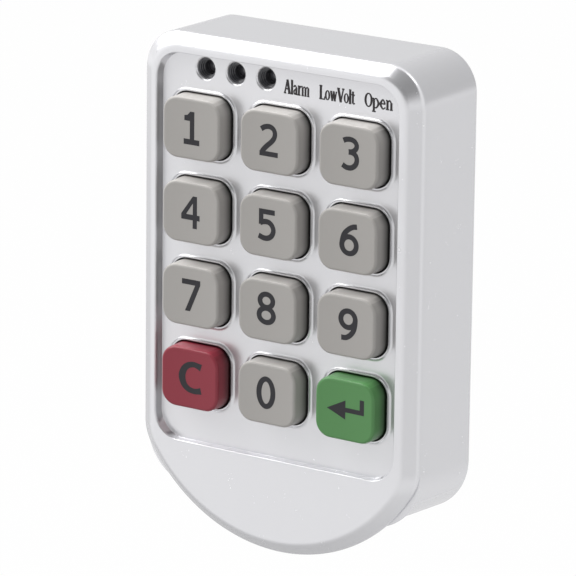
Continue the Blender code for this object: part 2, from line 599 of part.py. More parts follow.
def gear_outline():
    """One tooth points straight down, towards the worm."""
    root, tip = WHEEL_R - 1.2 * MODULE, WHEEL_TIP
    flank = ((0.75 * MODULE / root, root), (0.5 * MODULE / WHEEL_R, WHEEL_R), (0.3 * MODULE / tip, tip))
    pts = []
    for i in range(TEETH):
        mid = -math.pi / 2 - 2 * math.pi * i / TEETH
        pts += [(mid + a, r) for a, r in flank] + [(mid - a, r) for a, r in flank[::-1]]
    return [(r * math.cos(a), r * math.sin(a)) for a, r in pts]


def worm_wheel():
    wheel = slab("worm_wheel", gear_outline(), WHEEL_Y0, WHEEL_Y1, BRASS)
    lean = WHEEL_T / 2 * LEAD / (2 * math.pi * WORM_PITCH_R) / WHEEL_R
    for v in wheel.data.vertices:
        turn = lean if v.co.y < WORM_Y * MM else -lean
        v.co = Matrix.Rotation(-turn, 3, "Y") @ v.co
    wheel.data.transform(Matrix.Translation((0, 0, SPINDLE_Z * MM)))
    add(wheel, rod("hub", WHEEL_Y1 - 0.5, BARREL_Y - GAP, SPINDLE_R + HUB_WALL, 0, SPINDLE_Z, n=20),
        slab("trip", [(-TRIP_R, SPINDLE_Z + TRIP_TIP_HALF), (0, SPINDLE_Z + TRIP_HALF),
                      (0, SPINDLE_Z - TRIP_HALF), (-TRIP_R, SPINDLE_Z - TRIP_TIP_HALF)],
             WHEEL_Y1 - TRIP_SINK, TRIP_Y))
    cut(wheel, rod("bore", WHEEL_Y0 - 1, BARREL_Y, SPINDLE_R + FIT, 0, SPINDLE_Z, n=24))


def limit_switches():
    """The wheel's trip lobe reaches one at each end of the cam's quarter turn."""
    near, far, half, top = SWITCH_NEAR, SWITCH_FAR, SWITCH_W / 2, TRIP_Y + 0.2
    for tag, x0, x1, z0, z1 in (("locked", -far, -near, -half, half), ("open", -half, half, near, far)):
        box("limit_switch_" + tag, x0, x1, PARTS, top, SPINDLE_Z + z0, SPINDLE_Z + z1, BLACK, bevel=0.15)


# ------------------------------------------------------------------ spindle, barrel and cam
def spindle_and_barrel():
    at = (0, SPINDLE_Z)
    tip = END_Y + SQUARE_L
    spindle = turned("spindle", [(WHEEL_Y0, SPINDLE_R - 0.3), (WHEEL_Y0 + 0.3, SPINDLE_R),
                                 (END_Y + 0.2, SPINDLE_R)], *at, STEEL)
    add(spindle, slab("square", rounded(SQUARE, SQUARE, 0.3, *at, 1), END_Y - 0.5, tip))
    cut(spindle, rod("bore", END_Y - 4, tip + 1, CAM_SCREW_R + 0.15, *at, n=12))
    bore = SPINDLE_R + FIT + 0.02
    turned("lock_barrel", [(BARREL_Y, bore), (BARREL_Y, BARREL_R + BARREL_FLANGE),
                           (LEDGE, BARREL_R + BARREL_FLANGE), (LEDGE, BARREL_R),
                           (END_Y - 0.4, BARREL_R), (END_Y, BARREL_R - 0.4), (END_Y, bore)],
           *at, ZINC, n=32, ring=True)
    hole, out = BARREL_R + 0.2, BARREL_R + WASHER_OUT
    turned("barrel_washer", [(DOOR, hole), (DOOR, out), (DOOR + WASHER_T, out), (DOOR + WASHER_T, hole)],
           *at, STEEL, n=32, ring=True)
    out = BARREL_R + NUT_OUT
    nut = turned("barrel_nut", [(NUT_Y, out - 0.5), (NUT_Y + 0.3, out), (NUT_Y + NUT_T - 0.3, out),
                                (NUT_Y + NUT_T, out - 0.5)], *at, STEEL, n=6)
    cut(nut, rod("bore", NUT_Y - 1, NUT_Y + NUT_T + 1, BARREL_R + 0.15, *at, n=32))


def cam():
    """Locked, the cam points to the left; its quarter turn lifts it out of the strike."""
    outline = arc(0, SPINDLE_Z, CAM_HEAD_R, 105, -105, 12)
    outline += arc(CAM_TIP_R - CAM_L, SPINDLE_Z, CAM_TIP_R, -100, -260, 6)
    blade, hole = slab("cam", outline, CAM_Y, CAM_Y + CAM_T, STEEL), SQUARE + 0.2
    cut(blade, slab("hole", rounded(hole, hole, 0.35, 0, SPINDLE_Z, 1), CAM_Y - 1, CAM_Y + CAM_T + 1))
    hole = CAM_SCREW_R + 0.3
    turned("cam_washer", [(TIP_Y, hole), (TIP_Y, 4.0), (TIP_Y + 0.6, 4.0), (TIP_Y + 0.6, hole)],
           0, SPINDLE_Z, STEEL, n=24, ring=True)
    head = TIP_Y + 0.8
    turned("cam_screw", [(END_Y - 3, CAM_SCREW_R), (head, CAM_SCREW_R), (head, 2.9), (head + 1.2, 2.7),
                         (head + 1.6, 1.9)], 0, SPINDLE_Z, STEEL, n=16)


# ------------------------------------------------------------------ back plate and screws
def back_plate():
    plate = slab("back_plate", body_outline(BODY_Z - BODY_DROP, inset=REBATE + 0.25), -PLATE_T, 0.0, ZINC)
    add(plate, *[rod("pad", -PAD_L, -PLATE_T + 0.4, PAD_R, x, z, n=20) for x, z in PADS])
    sink = [(-PLATE_T - 1, PLATE_SCREW_R + 0.25), (-PLATE_HEAD_R + PLATE_SCREW_R, PLATE_SCREW_R + 0.25),
            (0.0, PLATE_HEAD_R + 0.3), (1.0, PLATE_HEAD_R + 0.3)]
    cut(plate, rod("hole", -PLATE_T - 1, 1, BARREL_R + 0.2, 0, SPINDLE_Z, n=32),
        *[rod("tap", 0.8 - PAD_L, 1, PAD_BORE, x, z, n=24) for x, z in PADS],
        *[turned("sink", sink, x, z, n=16) for x, z in BOSSES])


def screws():
    head = PLATE_HEAD_R - PLATE_SCREW_R
    plate_screw = turned("screw", [(-PLATE_SCREW_L, 0.7), (0.4 - PLATE_SCREW_L, PLATE_SCREW_R),
                                   (-0.1 - head, PLATE_SCREW_R), (-0.1, PLATE_HEAD_R)], mat=STEEL, n=12)
    copies(plate_screw, {"plate_screw_" + tag: at for tag, at in zip(CORNERS, BOSSES)})
    board_screw = turned("screw", [(BACK + 0.9, BOARD_SCREW_R), (PARTS, BOARD_SCREW_R), (PARTS, BOARD_HEAD_R),
                                   (PARTS + BOARD_HEAD_T, BOARD_HEAD_R), (PARTS + BOARD_HEAD_T + 0.3, 1.2)],
                         mat=STEEL, n=12)
    copies(board_screw, {"board_screw_" + tag: at for tag, at in zip(CORNERS, POSTS)})


# ------------------------------------------------------------------ scene
for thing in list(bpy.data.objects):
    bpy.data.objects.remove(thing, do_unlink=True)
PIECES = bpy.data.collections.new("keypad_lock")
CUTTERS = bpy.data.collections.new("cutters")
for collection in (PIECES, CUTTERS):
    bpy.context.scene.collection.children.link(collection)

ZINC = material("satin_silver", (0.68, 0.68, 0.69), 0.38, 0.6)
KEY_GREY = material("key_grey", (0.38, 0.37, 0.345), 0.55)
KEY_RED = material("key_red", (0.24, 0.06, 0.08), 0.5)
KEY_GREEN = material("key_green", (0.11, 0.22, 0.11), 0.5)
SILICONE = material("silicone", (0.5, 0.51, 0.51), 0.7)
LAMINATE = material("board_laminate", (0.03, 0.16, 0.07), 0.5)
BLACK = material("black_plastic", (0.02, 0.02, 0.022), 0.45)
LENS = material("smoked_lens", (0.03, 0.03, 0.035), 0.15)
STEEL = material("plated_steel", (0.56, 0.57, 0.59), 0.32, 1.0)
SPRING = material("spring_bronze", (0.62, 0.5, 0.3), 0.3, 1.0)
BRASS = material("brass", (0.65, 0.5, 0.2), 0.3, 1.0)
CELL = material("cell_steel", (0.66, 0.67, 0.68), 0.25, 1.0)
RUBBER = material("rubber", (0.03, 0.03, 0.03), 0.8)
ALU = material("bare_aluminium", (0.7, 0.7, 0.72), 0.3, 1.0)

housing()
keys()
mat_and_board()
lamps()
board_parts()
battery()
motor()
worm()
worm_wheel()
limit_switches()
spindle_and_barrel()
cam()
back_plate()
screws()
bpy.data.collections.remove(CUTTERS)
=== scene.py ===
import math
from contextlib import contextmanager

import bmesh
import bpy
from mathutils import Matrix, Vector


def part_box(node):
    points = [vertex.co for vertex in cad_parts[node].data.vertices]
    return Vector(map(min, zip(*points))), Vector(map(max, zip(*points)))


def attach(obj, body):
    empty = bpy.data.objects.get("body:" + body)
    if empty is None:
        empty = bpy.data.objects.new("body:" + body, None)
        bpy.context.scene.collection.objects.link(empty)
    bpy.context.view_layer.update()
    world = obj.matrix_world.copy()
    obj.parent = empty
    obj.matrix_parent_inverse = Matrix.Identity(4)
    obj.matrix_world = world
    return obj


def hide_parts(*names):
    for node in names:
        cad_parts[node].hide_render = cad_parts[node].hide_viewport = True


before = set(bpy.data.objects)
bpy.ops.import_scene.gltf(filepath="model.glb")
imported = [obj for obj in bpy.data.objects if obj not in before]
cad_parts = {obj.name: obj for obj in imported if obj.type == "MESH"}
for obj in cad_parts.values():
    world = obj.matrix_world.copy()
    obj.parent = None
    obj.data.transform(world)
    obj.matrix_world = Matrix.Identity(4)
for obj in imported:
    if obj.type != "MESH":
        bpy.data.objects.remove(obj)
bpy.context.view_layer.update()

MM = 0.001


def span(node):
    """Lowest and highest corner of a frame node, in millimetres."""
    low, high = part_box(node)
    return low / MM, high / MM


def middle(node):
    low, high = span(node)
    return (low + high) / 2


def ends(node):
    """Where a round piece starts and ends along Y, and its radius."""
    low, high = span(node)
    return low.y, high.y, (high.x - low.x) / 2


def centres(stem):
    """Where the four screws of one kind stand, as seen from the front."""
    return [middle(stem + corner).xz for corner in CORNERS]


# ---- places read from the frame
SHELL_LOW, SHELL_HIGH = span("front_housing")
HALF_W, TOP_Z, CHIN_Z, FRONT = SHELL_HIGH.x, SHELL_HIGH.z, SHELL_LOW.z, SHELL_LOW.y
TAGS = (("1", "2", "3"), ("4", "5", "6"), ("7", "8", "9"), ("clear", "0", "enter"))
COLS = [middle("key_" + tag).x for tag in TAGS[1]]
ROWS = [middle("key_" + row[1]).z for row in TAGS]
LAMP_NODES = ("led_alarm", "led_low_volt", "led_open")
LAMPS = [middle(node).x for node in LAMP_NODES]
LAMP_Z = middle("led_alarm").z
KEY_FACE = span("key_5")[0].y
PLATE_LOW = span("back_plate")[0]
SPINDLE_Z = middle("lock_barrel").z
CORNERS = ("upper_right", "upper_left", "lower_right", "lower_left")
BOSSES = centres("plate_screw_")

# ---- housing
BEVEL_SIDE, BEVEL_TOP, BEVEL_CHIN, BEVEL_D = 2.23, 1.9, 1.8, 1.6
CREASE_IN, FACE_IN, CREASE_ROUND, EDGE_ROUND = 2.1, 2.75, 1.8, 0.9
TOP_R, CREASE_R = 6.3, 4.5
CHIN_R, CHIN_BLEND = HALF_W + 3.1, 7.0
LIP, LIP_ROUND, ROOT_GAP, ROOT_ROUND = 2.3, 0.25, 0.12, 0.5
BODY_Z, BODY_DROP, BODY_R, DRAFT = -31.5, 0.9, 9.0, 0.16
WALL, FLOOR_WALL, REBATE = 2.0, 1.9, 1.05
REC_W, REC_X, REC_T, REC_B, REC_D, REC_R = 21.81, -0.24, 36.98, -23.93, 1.3, 4.2
REC_SLOPE, REC_SIDE, REC_SWEEP, REC_TOP_ROUND, REC_FOOT_ROUND = 0.03, 0.5, 20.0, 0.12, 0.03
REC_MID, REC_H = (REC_T + REC_B) / 2, REC_T - REC_B
PANEL = 1.4
FLOOR = FRONT + REC_D
BACK = FLOOR + PANEL
PLATE_T, PLATE_GAP = 1.35, 0.25
LEDGE = -PLATE_T - 0.3
BOSS_R, POST_R, BORE_R = 2.8, 1.75, 1.25
# ---- key windows and their raised rims
WIN_W, WIN_H, WIN_R = 11.3, 10.3, 2.9
SLEEVE = 0.3
RIM_IN, RIM_W, RIM_H = -0.13, 0.25, 0.26
# ---- keys
KEY_GAP, KEY_ROUND, KEY_DISH, KEY_FLARE = 0.45, 0.45, 0.18, 0.16
KEY_W, KEY_H, KEY_R = WIN_W - 2 * KEY_GAP, WIN_H - 2 * KEY_GAP, WIN_R - KEY_GAP
FLANGE_Y, FLANGE_T, FLANGE = BACK + 0.3, 0.7, 1.05
INK, INK_DEPTH, KEY_INK_DOWN, BOLDER = 0.02, 0.03, 0.012, 0.05
# ---- lamps, and the pieces on the door side
LAMP_HOLE_R, LENS_R, LENS_FLANGE_R = 1.6, 1.42, 1.7
PADS_X, PAD_Z, PAD_R, TAP_R = (17.0, -17.0), 5.0, 3.2, 1.65
SINK_R, SINK_BORE_R, SINK_DEEP, SCREW_R, HEAD_R = 2.6, 1.35, 1.2, 1.1, 2.3
BARREL_R, BARREL_FLANGE_R, BARREL_BORE, BARREL_HOLE_R, NUT_BORE_R = 5.68, 8.0, 3.07, 6.2, 6.06
THREAD_R, RIDGE, PITCH = 5.62, 0.38, 1.0
CAM_TIP_R, CAM_SQUARE, CAM_SCREW_R = 3.6, 4.4, 1.15


# -------- outlines
def sin_cos(degrees):
    return math.sin(math.radians(degrees)), math.cos(math.radians(degrees))


def arc(cx, cz, r, a0, a1, n):
    """Points on an arc from angle a0 to a1, in degrees."""
    turns = [sin_cos(a0 + (a1 - a0) * i / n) for i in range(n + 1)]
    return [(cx + r * c, cz + r * s) for s, c in turns]


def rounded(w, h, r, cx=0.0, cz=0.0, n=10):
    """Rounded rectangle of full size w by h."""
    a, b = w / 2 - r, h / 2 - r
    pts = []
    for sx, sz, a0 in ((1, 1, 90), (1, -1, 0), (-1, -1, -90), (-1, 1, -180)):
        pts += arc(cx + sx * a, cz + sz * b, r, a0, a0 - 90, n)
    return pts


def softened(path, radii, steps=6):
    """An open path of (u, v) points with its inner corners rounded to the given radii."""
    out = [path[0]]
    for before, corner, after, r in zip(path, path[1:], path[2:], radii):
        p = Vector(corner)
        a, b = (Vector(before) - p).normalized(), (Vector(after) - p).normalized()
        half = a.angle(b) / 2
        if r <= 0:
            out.append(corner)
            continue
        reach = r / math.tan(half)
        centre = p + (a + b).normalized() * (r / math.sin(half))
        start, end = p + a * reach - centre, p + b * reach - centre
        turn = start.angle_signed(end)
        for i in range(steps + 1):
            spot = Matrix.Rotation(-turn * i / steps, 2) @ start + centre
            out.append((spot.x, spot.y))
    return out + [path[-1]]


CORNER_N, BLEND_N, ARC_N, FOOT_N = 20, 14, 96, 16


def front_outline(t=0.0, lip=0.0):
    """The front's outline, t of the way in from the outer edge to the crease of the bevel.
    The finger pull's wide arc closes it below; lip draws in the arc alone."""
    hx, top = HALF_W - BEVEL_SIDE * t, TOP_Z - BEVEL_TOP * t
    corner = TOP_R + (CREASE_R - TOP_R) * t
    big = CHIN_R - BEVEL_CHIN * t - lip
    cz = CHIN_Z + CHIN_R
    blend = CHIN_BLEND - 1.1 * t
    bz = cz - math.sqrt((big - blend) ** 2 - (hx - blend) ** 2)
    turn = math.degrees(math.atan2(bz - cz, hx - blend))
    pts = arc(hx - corner, top - corner, corner, 90, 0, CORNER_N)
    pts += arc(hx - blend, bz, blend, 0, turn, BLEND_N)
    pts += arc(0, cz, big, turn, -180 - turn, ARC_N)[1:-1]
    pts += arc(blend - hx, bz, blend, -180 - turn, -180, BLEND_N)
    pts += arc(corner - hx, top - corner, corner, 180, 90, CORNER_N)
    return pts


def body_outline(bottom, draft=0.0, inset=0.0):
    """Rounded rectangle of the deep body, point for point with front_outline."""
    hx, top, low = HALF_W - draft - inset, TOP_Z - draft - inset, bottom + inset
    corner, foot = TOP_R - inset, BODY_R - inset
    flat = ARC_N - 1 - 2 * FOOT_N
    run = 2 * (hx - foot)
    pts = arc(hx - corner, top - corner, corner, 90, 0, CORNER_N)
    pts += arc(hx - foot, low + foot, foot, 0, -90, BLEND_N + FOOT_N)
    pts += [(hx - foot - run * (i + 1) / (flat + 1), low) for i in range(flat)]
    pts += arc(foot - hx, low + foot, foot, -90, -180, BLEND_N + FOOT_N)
    pts += arc(corner - hx, top - corner, corner, 180, 90, CORNER_N)
    return pts


def cavity_outline():
    """The space inside the body."""
    cx, top, low = HALF_W - WALL, TOP_Z - WALL, BODY_Z + FLOOR_WALL
    r, foot = TOP_R - WALL + 0.1, BODY_R - FLOOR_WALL + 0.1
    return (arc(cx - r, top - r, r, 90, 0, 10) + arc(cx - foot, low + foot, foot, 0, -90, 12)
            + arc(foot - cx, low + foot, foot, -90, -180, 12) + arc(r - cx, top - r, r, 180, 90, 10))


# -------- mesh helpers
def shown(name, data):
    ob = bpy.data.objects.new(name, data)
    bpy.context.scene.collection.objects.link(ob)
    return ob


def link(name, bm):
    me = bpy.data.meshes.new(name)
    bm.normal_update()
    bm.to_mesh(me)
    bm.free()
    return shown(name, me)


@contextmanager
def opened(ob):
    """Opens an object's mesh to be worked on, and writes it back."""
    bm = bmesh.new()
    bm.from_mesh(ob.data)
    yield bm
    bm.to_mesh(ob.data)
    bm.free()


def sliced(bm, step, n):
    """Cuts a mesh into strips so that it can follow the hollow of a key."""
    for i in range(-n, n + 1):
        bmesh.ops.bisect_plane(bm, geom=bm.verts[:] + bm.edges[:] + bm.faces[:], plane_co=(i * step, 0, 0),
                               plane_no=(1, 0, 0), dist=1e-5)


def skin(name, rings, closed=False):
    """A body through rings of (x, y, z) points. A ring of one point is a pole, and open
    ends are capped unless the last ring joins the first."""
    bm = bmesh.new()
    loops = [[bm.verts.new(p) for p in ring] for ring in rings]
    pairs = list(zip(loops, loops[1:])) + ([(loops[-1], loops[0])] if closed else [])
    for a, b in pairs:
        n = max(len(a), len(b))
        for i in range(n):
            j = (i + 1) % n
            quad = [a[i % len(a)], a[j % len(a)], b[j % len(b)], b[i % len(b)]]
            bm.faces.new(list(dict.fromkeys(quad)))
    if not closed:
        for end in (loops[0], loops[-1]):
            if len(end) > 2:
                bm.faces.new(end)
    bmesh.ops.recalc_face_normals(bm, faces=bm.faces)
    return link(name, bm)


def flat_ring(outline, y):
    return [(x, y, z) for x, z in outline]


def slab(name, outline, y0, y1):
    return skin(name, [flat_ring(outline, y0), flat_ring(outline, y1)])


def turned(name, profile, x=0.0, z=0.0, n=48, ring=False):
    """A body turned about the line through (x, z) along Y, from (y, radius) pairs."""
    turns = [2 * math.pi * i / n for i in range(n)]
    rings = [[(x + r * math.cos(a), y, z + r * math.sin(a)) for a in turns] if r else [(x, y, z)]
             for y, r in profile]
    return skin(name, rings, closed=ring)


def baked(ob):
    """Replaces an object's mesh by its evaluated mesh."""
    graph = bpy.context.evaluated_depsgraph_get()
    graph.update()
    me = bpy.data.meshes.new_from_object(ob.evaluated_get(graph))
    ob.modifiers.clear()
    ob.data = me
    return ob


def boolean(ob, tools, mode):
    """Cuts or joins a body with several closed tools at once."""
    bm = bmesh.new()
    for tool in tools:
        bm.from_mesh(tool.data)
        bpy.data.objects.remove(tool)
    joined = link("tool", bm)
    mod = ob.modifiers.new(mode, "BOOLEAN")
    mod.operation, mod.solver, mod.use_self, mod.object = mode, "EXACT", True, joined
    baked(ob)
    bpy.data.objects.remove(joined)
    return ob


def cut(ob, *tools):
    return boolean(ob, tools, "DIFFERENCE")


def add(ob, *tools):
    return boolean(ob, tools, "UNION")


def smooth(ob, angle=35.0):
    """Smooth shading that keeps flat faces flat and breaks at real edges."""
    with opened(ob) as bm:
        bmesh.ops.remove_doubles(bm, verts=bm.verts, dist=1e-4)
        bmesh.ops.dissolve_degenerate(bm, edges=bm.edges, dist=1e-4)
    ob.data.shade_smooth()
    ob.data.set_sharp_from_angle(angle=math.radians(angle))
    mod = ob.modifiers.new("normals", "WEIGHTED_NORMAL")
    mod.keep_sharp, mod.weight = True, 60
    return baked(ob)


def finish(ob, body, mat, slot=None, stands_for=(), angle=35.0):
    """Shades a piece, gives it its material, sets it to metres and fastens it to its body."""
    if angle:
        smooth(ob, angle)
    ob.data.transform(Matrix.Scale(MM, 4))
    ob.data.materials.clear()
    ob.data.materials.append(mat)
    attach(ob, body)
    if stands_for:
        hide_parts(*stands_for)
    return ob


# -------- node helpers
def add_inputs(tree, inputs):
    """Named inputs, each of the kind that its first value is."""
    for label, value in inputs.items():
        kind = {int: "Int", float: "Float"}.get(type(value)) or {3: "Vector", 4: "Color"}[len(value)]
        tree.interface.new_socket(name=label, in_out="INPUT", socket_type="NodeSocket" + kind).default_value = value


def shader_nodes(tree, *kinds):
    return [tree.nodes.new("ShaderNode" + kind) for kind in kinds]


def put(slot, value):
    """Gives a socket its value, or links it to the output that feeds it."""
    if isinstance(value, bpy.types.NodeSocket):
        slot.id_data.links.new(value, slot)
    else:
        slot.default_value = value


def fill(node, values):
    """Puts a value into each named input of a node, and gives its outputs."""
    for label, value in values.items():
        put(node.inputs[label], value)
    return node.outputs


def joins(*rows):
    """Links (node, output, node, input) rows."""
    for a, out, b, into in rows:
        put(b.inputs[into], a.outputs[out])


def calculated(kind, *values):
    """Arithmetic on outputs and numbers, as a node in the outputs' own tree."""
    tree = next(v.id_data for v in values if isinstance(v, bpy.types.NodeSocket))
    node = tree.nodes.new("ShaderNodeMath")
    node.operation = kind
    for slot, value in zip(node.inputs, values):
        put(slot, value)
    return node.outputs[0]


def times(a, b, *more):
    product = calculated("MULTIPLY", a, b)
    return times(product, *more) if more else product


def plus(a, b):
    return calculated("ADD", a, b)


def minus(a, b):
    return calculated("SUBTRACT", a, b)


def larger(a, b):
    return calculated("MAXIMUM", a, b)


def ramp(value, lo, hi, first=0.0, last=1.0):
    """Goes softly from first to last while the value goes from lo to hi."""
    node = value.id_data.nodes.new("ShaderNodeMapRange")
    node.interpolation_type = "SMOOTHSTEP"
    return fill(node, {"Value": value, "From Min": lo, "From Max": hi, "To Min": first, "To Max": last})["Result"]


def ramp_mm(value, lo, hi, first=0.0, last=1.0):
    """A ramp over a place or a distance, with its ends in millimetres."""
    return ramp(value, lo * MM, hi * MM, first, last)


def vector_math(kind, a, b):
    """One vector operation, which gives a number or a vector."""
    node = a.id_data.nodes.new("ShaderNodeVectorMath")
    node.operation = kind
    put(node.inputs[0], a)
    put(node.inputs["Scale" if kind == "SCALE" else 1], b)
    return node.outputs["Value" if kind in ("DISTANCE", "DOT_PRODUCT") else "Vector"]


def toned(color, factor):
    """A colour made darker or paler by a factor."""
    return vector_math("SCALE", color, factor)


def split_xyz(vector):
    node = vector.id_data.nodes.new("ShaderNodeSeparateXYZ")
    put(node.inputs[0], vector)
    return node.outputs


# -------- geometry node trees
def geometry_tree(name, **inputs):
    """A tree with its sockets, and the nodes that place, realize and paint what it makes."""
    tree = bpy.data.node_groups.new(name, "GeometryNodeTree")
    shape = {"name": "Geometry", "socket_type": "NodeSocketGeometry"}
    tree.interface.new_socket(in_out="INPUT", **shape)
    add_inputs(tree, inputs)
    tree.interface.new_socket(name="Material", in_out="INPUT", socket_type="NodeSocketMaterial")
    tree.interface.new_socket(in_out="OUTPUT", **shape)
    come, go, turn, real, paint = map(tree.nodes.new, (
        "NodeGroupInput", "NodeGroupOutput", "GeometryNodeTransform", "GeometryNodeRealizeInstances",
        "GeometryNodeSetMaterial"))
    joins((real, "Geometry", paint, "Geometry"), (come, "Material", paint, "Material"),
          (paint, "Geometry", go, "Geometry"))
    return tree, come, turn, real


def grid_tree():
    """Copies of the base geometry on a grid in the XZ plane."""
    tree, come, turn, real = geometry_tree("copies_on_grid", Across=3, Down=4, Width=10.0, Height=10.0,
                                           Centre=(0.0, 0.0, 0.0))
    grid, place = map(tree.nodes.new, ("GeometryNodeMeshGrid", "GeometryNodeInstanceOnPoints"))
    turn.inputs["Rotation"].default_value = (math.pi / 2, 0, 0)
    joins((come, "Width", grid, "Size X"), (come, "Height", grid, "Size Y"), (come, "Across", grid, "Vertices X"),
          (come, "Down", grid, "Vertices Y"), (grid, "Mesh", turn, "Geometry"), (come, "Centre", turn, "Translation"),
          (turn, "Geometry", place, "Points"), (come, "Geometry", place, "Instance"),
          (place, "Instances", real, "Geometry"))
    return tree


def thread_tree():
    """A screw thread: a ridge that follows a helix along the Y axis."""
    tree, come, turn, real = geometry_tree("thread_ridge", Radius=6.0, Ridge=0.3, Turns=10.0, Length=10.0,
                                           Steps=40, Start=(0.0, 0.0, 0.0))
    helix, section, sweep = map(tree.nodes.new, (
        "GeometryNodeCurveSpiral", "GeometryNodeCurvePrimitiveCircle", "GeometryNodeCurveToMesh"))
    section.inputs["Resolution"].default_value = 4
    sweep.inputs["Fill Caps"].default_value = True
    turn.inputs["Rotation"].default_value = (-math.pi / 2, 0, 0)
    joins((come, "Steps", helix, "Resolution"), (come, "Turns", helix, "Rotations"),
          (come, "Radius", helix, "Start Radius"), (come, "Radius", helix, "End Radius"),
          (come, "Length", helix, "Height"), (come, "Ridge", section, "Radius"), (helix, "Curve", sweep, "Curve"),
          (section, "Curve", sweep, "Profile Curve"), (sweep, "Mesh", turn, "Geometry"),
          (come, "Start", turn, "Translation"), (turn, "Geometry", real, "Geometry"))
    return tree


def grown(ob, tree, **values):
    """Runs a geometry node tree on an object and keeps the result as its mesh."""
    mod = ob.modifiers.new(tree.name, "NODES")
    mod.node_group = tree
    for item in tree.interface.items_tree:
        if item.in_out == "INPUT" and item.name in values:
            mod[item.identifier] = values[item.name]
    return baked(ob)


# -------- shared finishes
def group(name, inputs, *outputs):
    """A shader node group with its sockets, its two ends and the piece's own coordinates. One
    that gives a colour takes one too."""
    tree = bpy.data.node_groups.new(name, "ShaderNodeTree")
    add_inputs(tree, {"Color": (0.5, 0.5, 0.5, 1), **inputs} if "Color" in outputs else inputs)
    for label in outputs:
        kind = "NodeSocketColor" if label == "Color" else "NodeSocketFloat"
        tree.interface.new_socket(name=label, in_out="OUTPUT", socket_type=kind)
    come, go, place = map(tree.nodes.new, ("NodeGroupInput", "NodeGroupOutput", "ShaderNodeTexCoord"))
    return tree, come.outputs, go.inputs, place.outputs


def noise(vector, scale, detail):
    node = vector.id_data.nodes.new("ShaderNodeTexNoise")
    return fill(node, {"Vector": vector, "Scale": scale, "Detail": detail})["Fac"]


def grain_group():
    """Fine grain over a slow drift: moves a colour and a roughness a little and gives a height."""
    tree, come, go, place = group("grain", {"Roughness": 0.4, "Grain": 3000.0, "Drift": 60.0, "Color amount": 0.05,
                                            "Rough amount": 0.08}, "Color", "Roughness", "Height")
    fine, slow = noise(place["Object"], come["Grain"], 2.0), noise(place["Object"], come["Drift"], 3.0)
    both = plus(minus(fine, 0.5), minus(slow, 0.5))
    put(go["Color"], toned(come["Color"], plus(times(both, come["Color amount"]), 1.0)))
    put(go["Roughness"], plus(times(both, come["Rough amount"]), come["Roughness"]))
    put(go["Height"], fine)
    return tree


def specks_group():
    """A scatter of tiny darker specks, such as pits in paint or dirt on plastic."""
    tree, come, go, place = group("specks", {"Speck color": (0.2, 0.2, 0.2, 1), "Scale": 300.0, "Size": 0.06,
                                             "Rare": 0.9}, "Color")
    cells, split, mix = shader_nodes(tree, "TexVoronoi", "SeparateColor", "Mix")
    cell = fill(cells, {"Vector": place["Object"], "Scale": come["Scale"]})
    put(split.inputs[0], cell["Color"])
    mask = times(calculated("LESS_THAN", cell["Distance"], come["Size"]),
                 calculated("GREATER_THAN", split.outputs[0], come["Rare"]))
    mix.data_type = "RGBA"
    put(go["Color"], fill(mix, {"Factor": mask, "A": come["Color"], "B": come["Speck color"]})["Result"])
    return tree


def brush_group():
    """Fine parallel tool marks: a height and a roughness drawn out along one direction."""
    tree, come, go, place = group("tool_marks", {"Stretch": (4000.0, 200.0, 4000.0), "Roughness": 0.3, "Amount": 0.15},
                                  "Roughness", "Height")
    marks = noise(vector_math("MULTIPLY", place["Object"], come["Stretch"]), 1.0, 3.0)
    put(go["Roughness"], plus(times(minus(marks, 0.5), come["Amount"]), come["Roughness"]))
    put(go["Height"], marks)
    return tree


def deep_group():
    """The sides of a key in its window, in painted shade and painted light: the side that faces right loses Amount of
    its colour from Front to Back as painted shade, every side goes dark at its foot as a painted shadow in the gap, and
    what faces up is paler by the painted top light."""
    foot_top, foot_end, foot_painted_shadow = 0.7, 0.1, 0.2
    tree, come, go, place = group("deep_shade", {"Front": 0.0, "Back": 0.001, "Amount": 0.5, "Lift": 0.5}, "Color")
    y, faces = split_xyz(place["Object"])["Y"], split_xyz(place["Normal"])
    deep = times(ramp(y, come["Front"], come["Back"]), ramp(faces["X"], 0.1, 0.8))
    foot = ramp(y, minus(come["Back"], foot_top * MM), minus(come["Back"], foot_end * MM), 1.0, foot_painted_shadow)
    painted_shading = times(minus(1.0, times(deep, come["Amount"])), foot)
    painted_top_light = times(ramp(faces["Z"], 0.6, 0.97), come["Lift"])
    put(go["Color"], toned(come["Color"], times(painted_shading, plus(painted_top_light, 1.0))))
    return tree


def wall_shade_group():
    """The walls round the recess in painted shade: darker by Amount at the sides, and with painted light that makes
    them a little paler along the top and the foot."""
    paler = -0.42
    tree, come, go, place = group("recess_wall_shade", {"Amount": 0.4}, "Color")
    x, y, z = split_xyz(place["Object"])
    beside = minus(calculated("ABSOLUTE", minus(x, REC_X * MM)), REC_W * MM)
    past = minus(calculated("ABSOLUTE", minus(z, REC_MID * MM)), REC_H / 2 * MM)
    out = larger(beside, past)
    around = times(ramp_mm(out, -0.9, -0.6), ramp_mm(out, 0.1, 0.25, 1, 0))
    deep = times(ramp_mm(y, FRONT + 0.12, FRONT + 0.4), ramp_mm(y, FLOOR - 0.08, FLOOR, 1, 0))
    painted_shading = times(times(around, deep), times(ramp_mm(past, -0.6, -0.15, 1, paler), come["Amount"]))
    put(go["Color"], toned(come["Color"], minus(1.0, painted_shading)))
    return tree


GRAIN, SPECKS, MARKS, DEEP_SHADE, WALL_SHADE = grain_group(), specks_group(), brush_group(), deep_group(), wall_shade_group()
BUMP_HEIGHT = 0.00002


def linear(r, g, b):
    """A colour given as 8-bit display values, in linear light."""
    return tuple(((c / 255 + 0.055) / 1.055) ** 2.4 for c in (r, g, b))


def noded(kind, name):
    """A new material or world, and its node tree."""
    data = kind.new(name)
    data.use_nodes = True
    return data, data.node_tree


def effect(tree, shared, values):
    """A shared node group placed in a material with its own values."""
    node = tree.nodes.new("ShaderNodeGroup")
    node.node_tree = shared
    return fill(node, values)


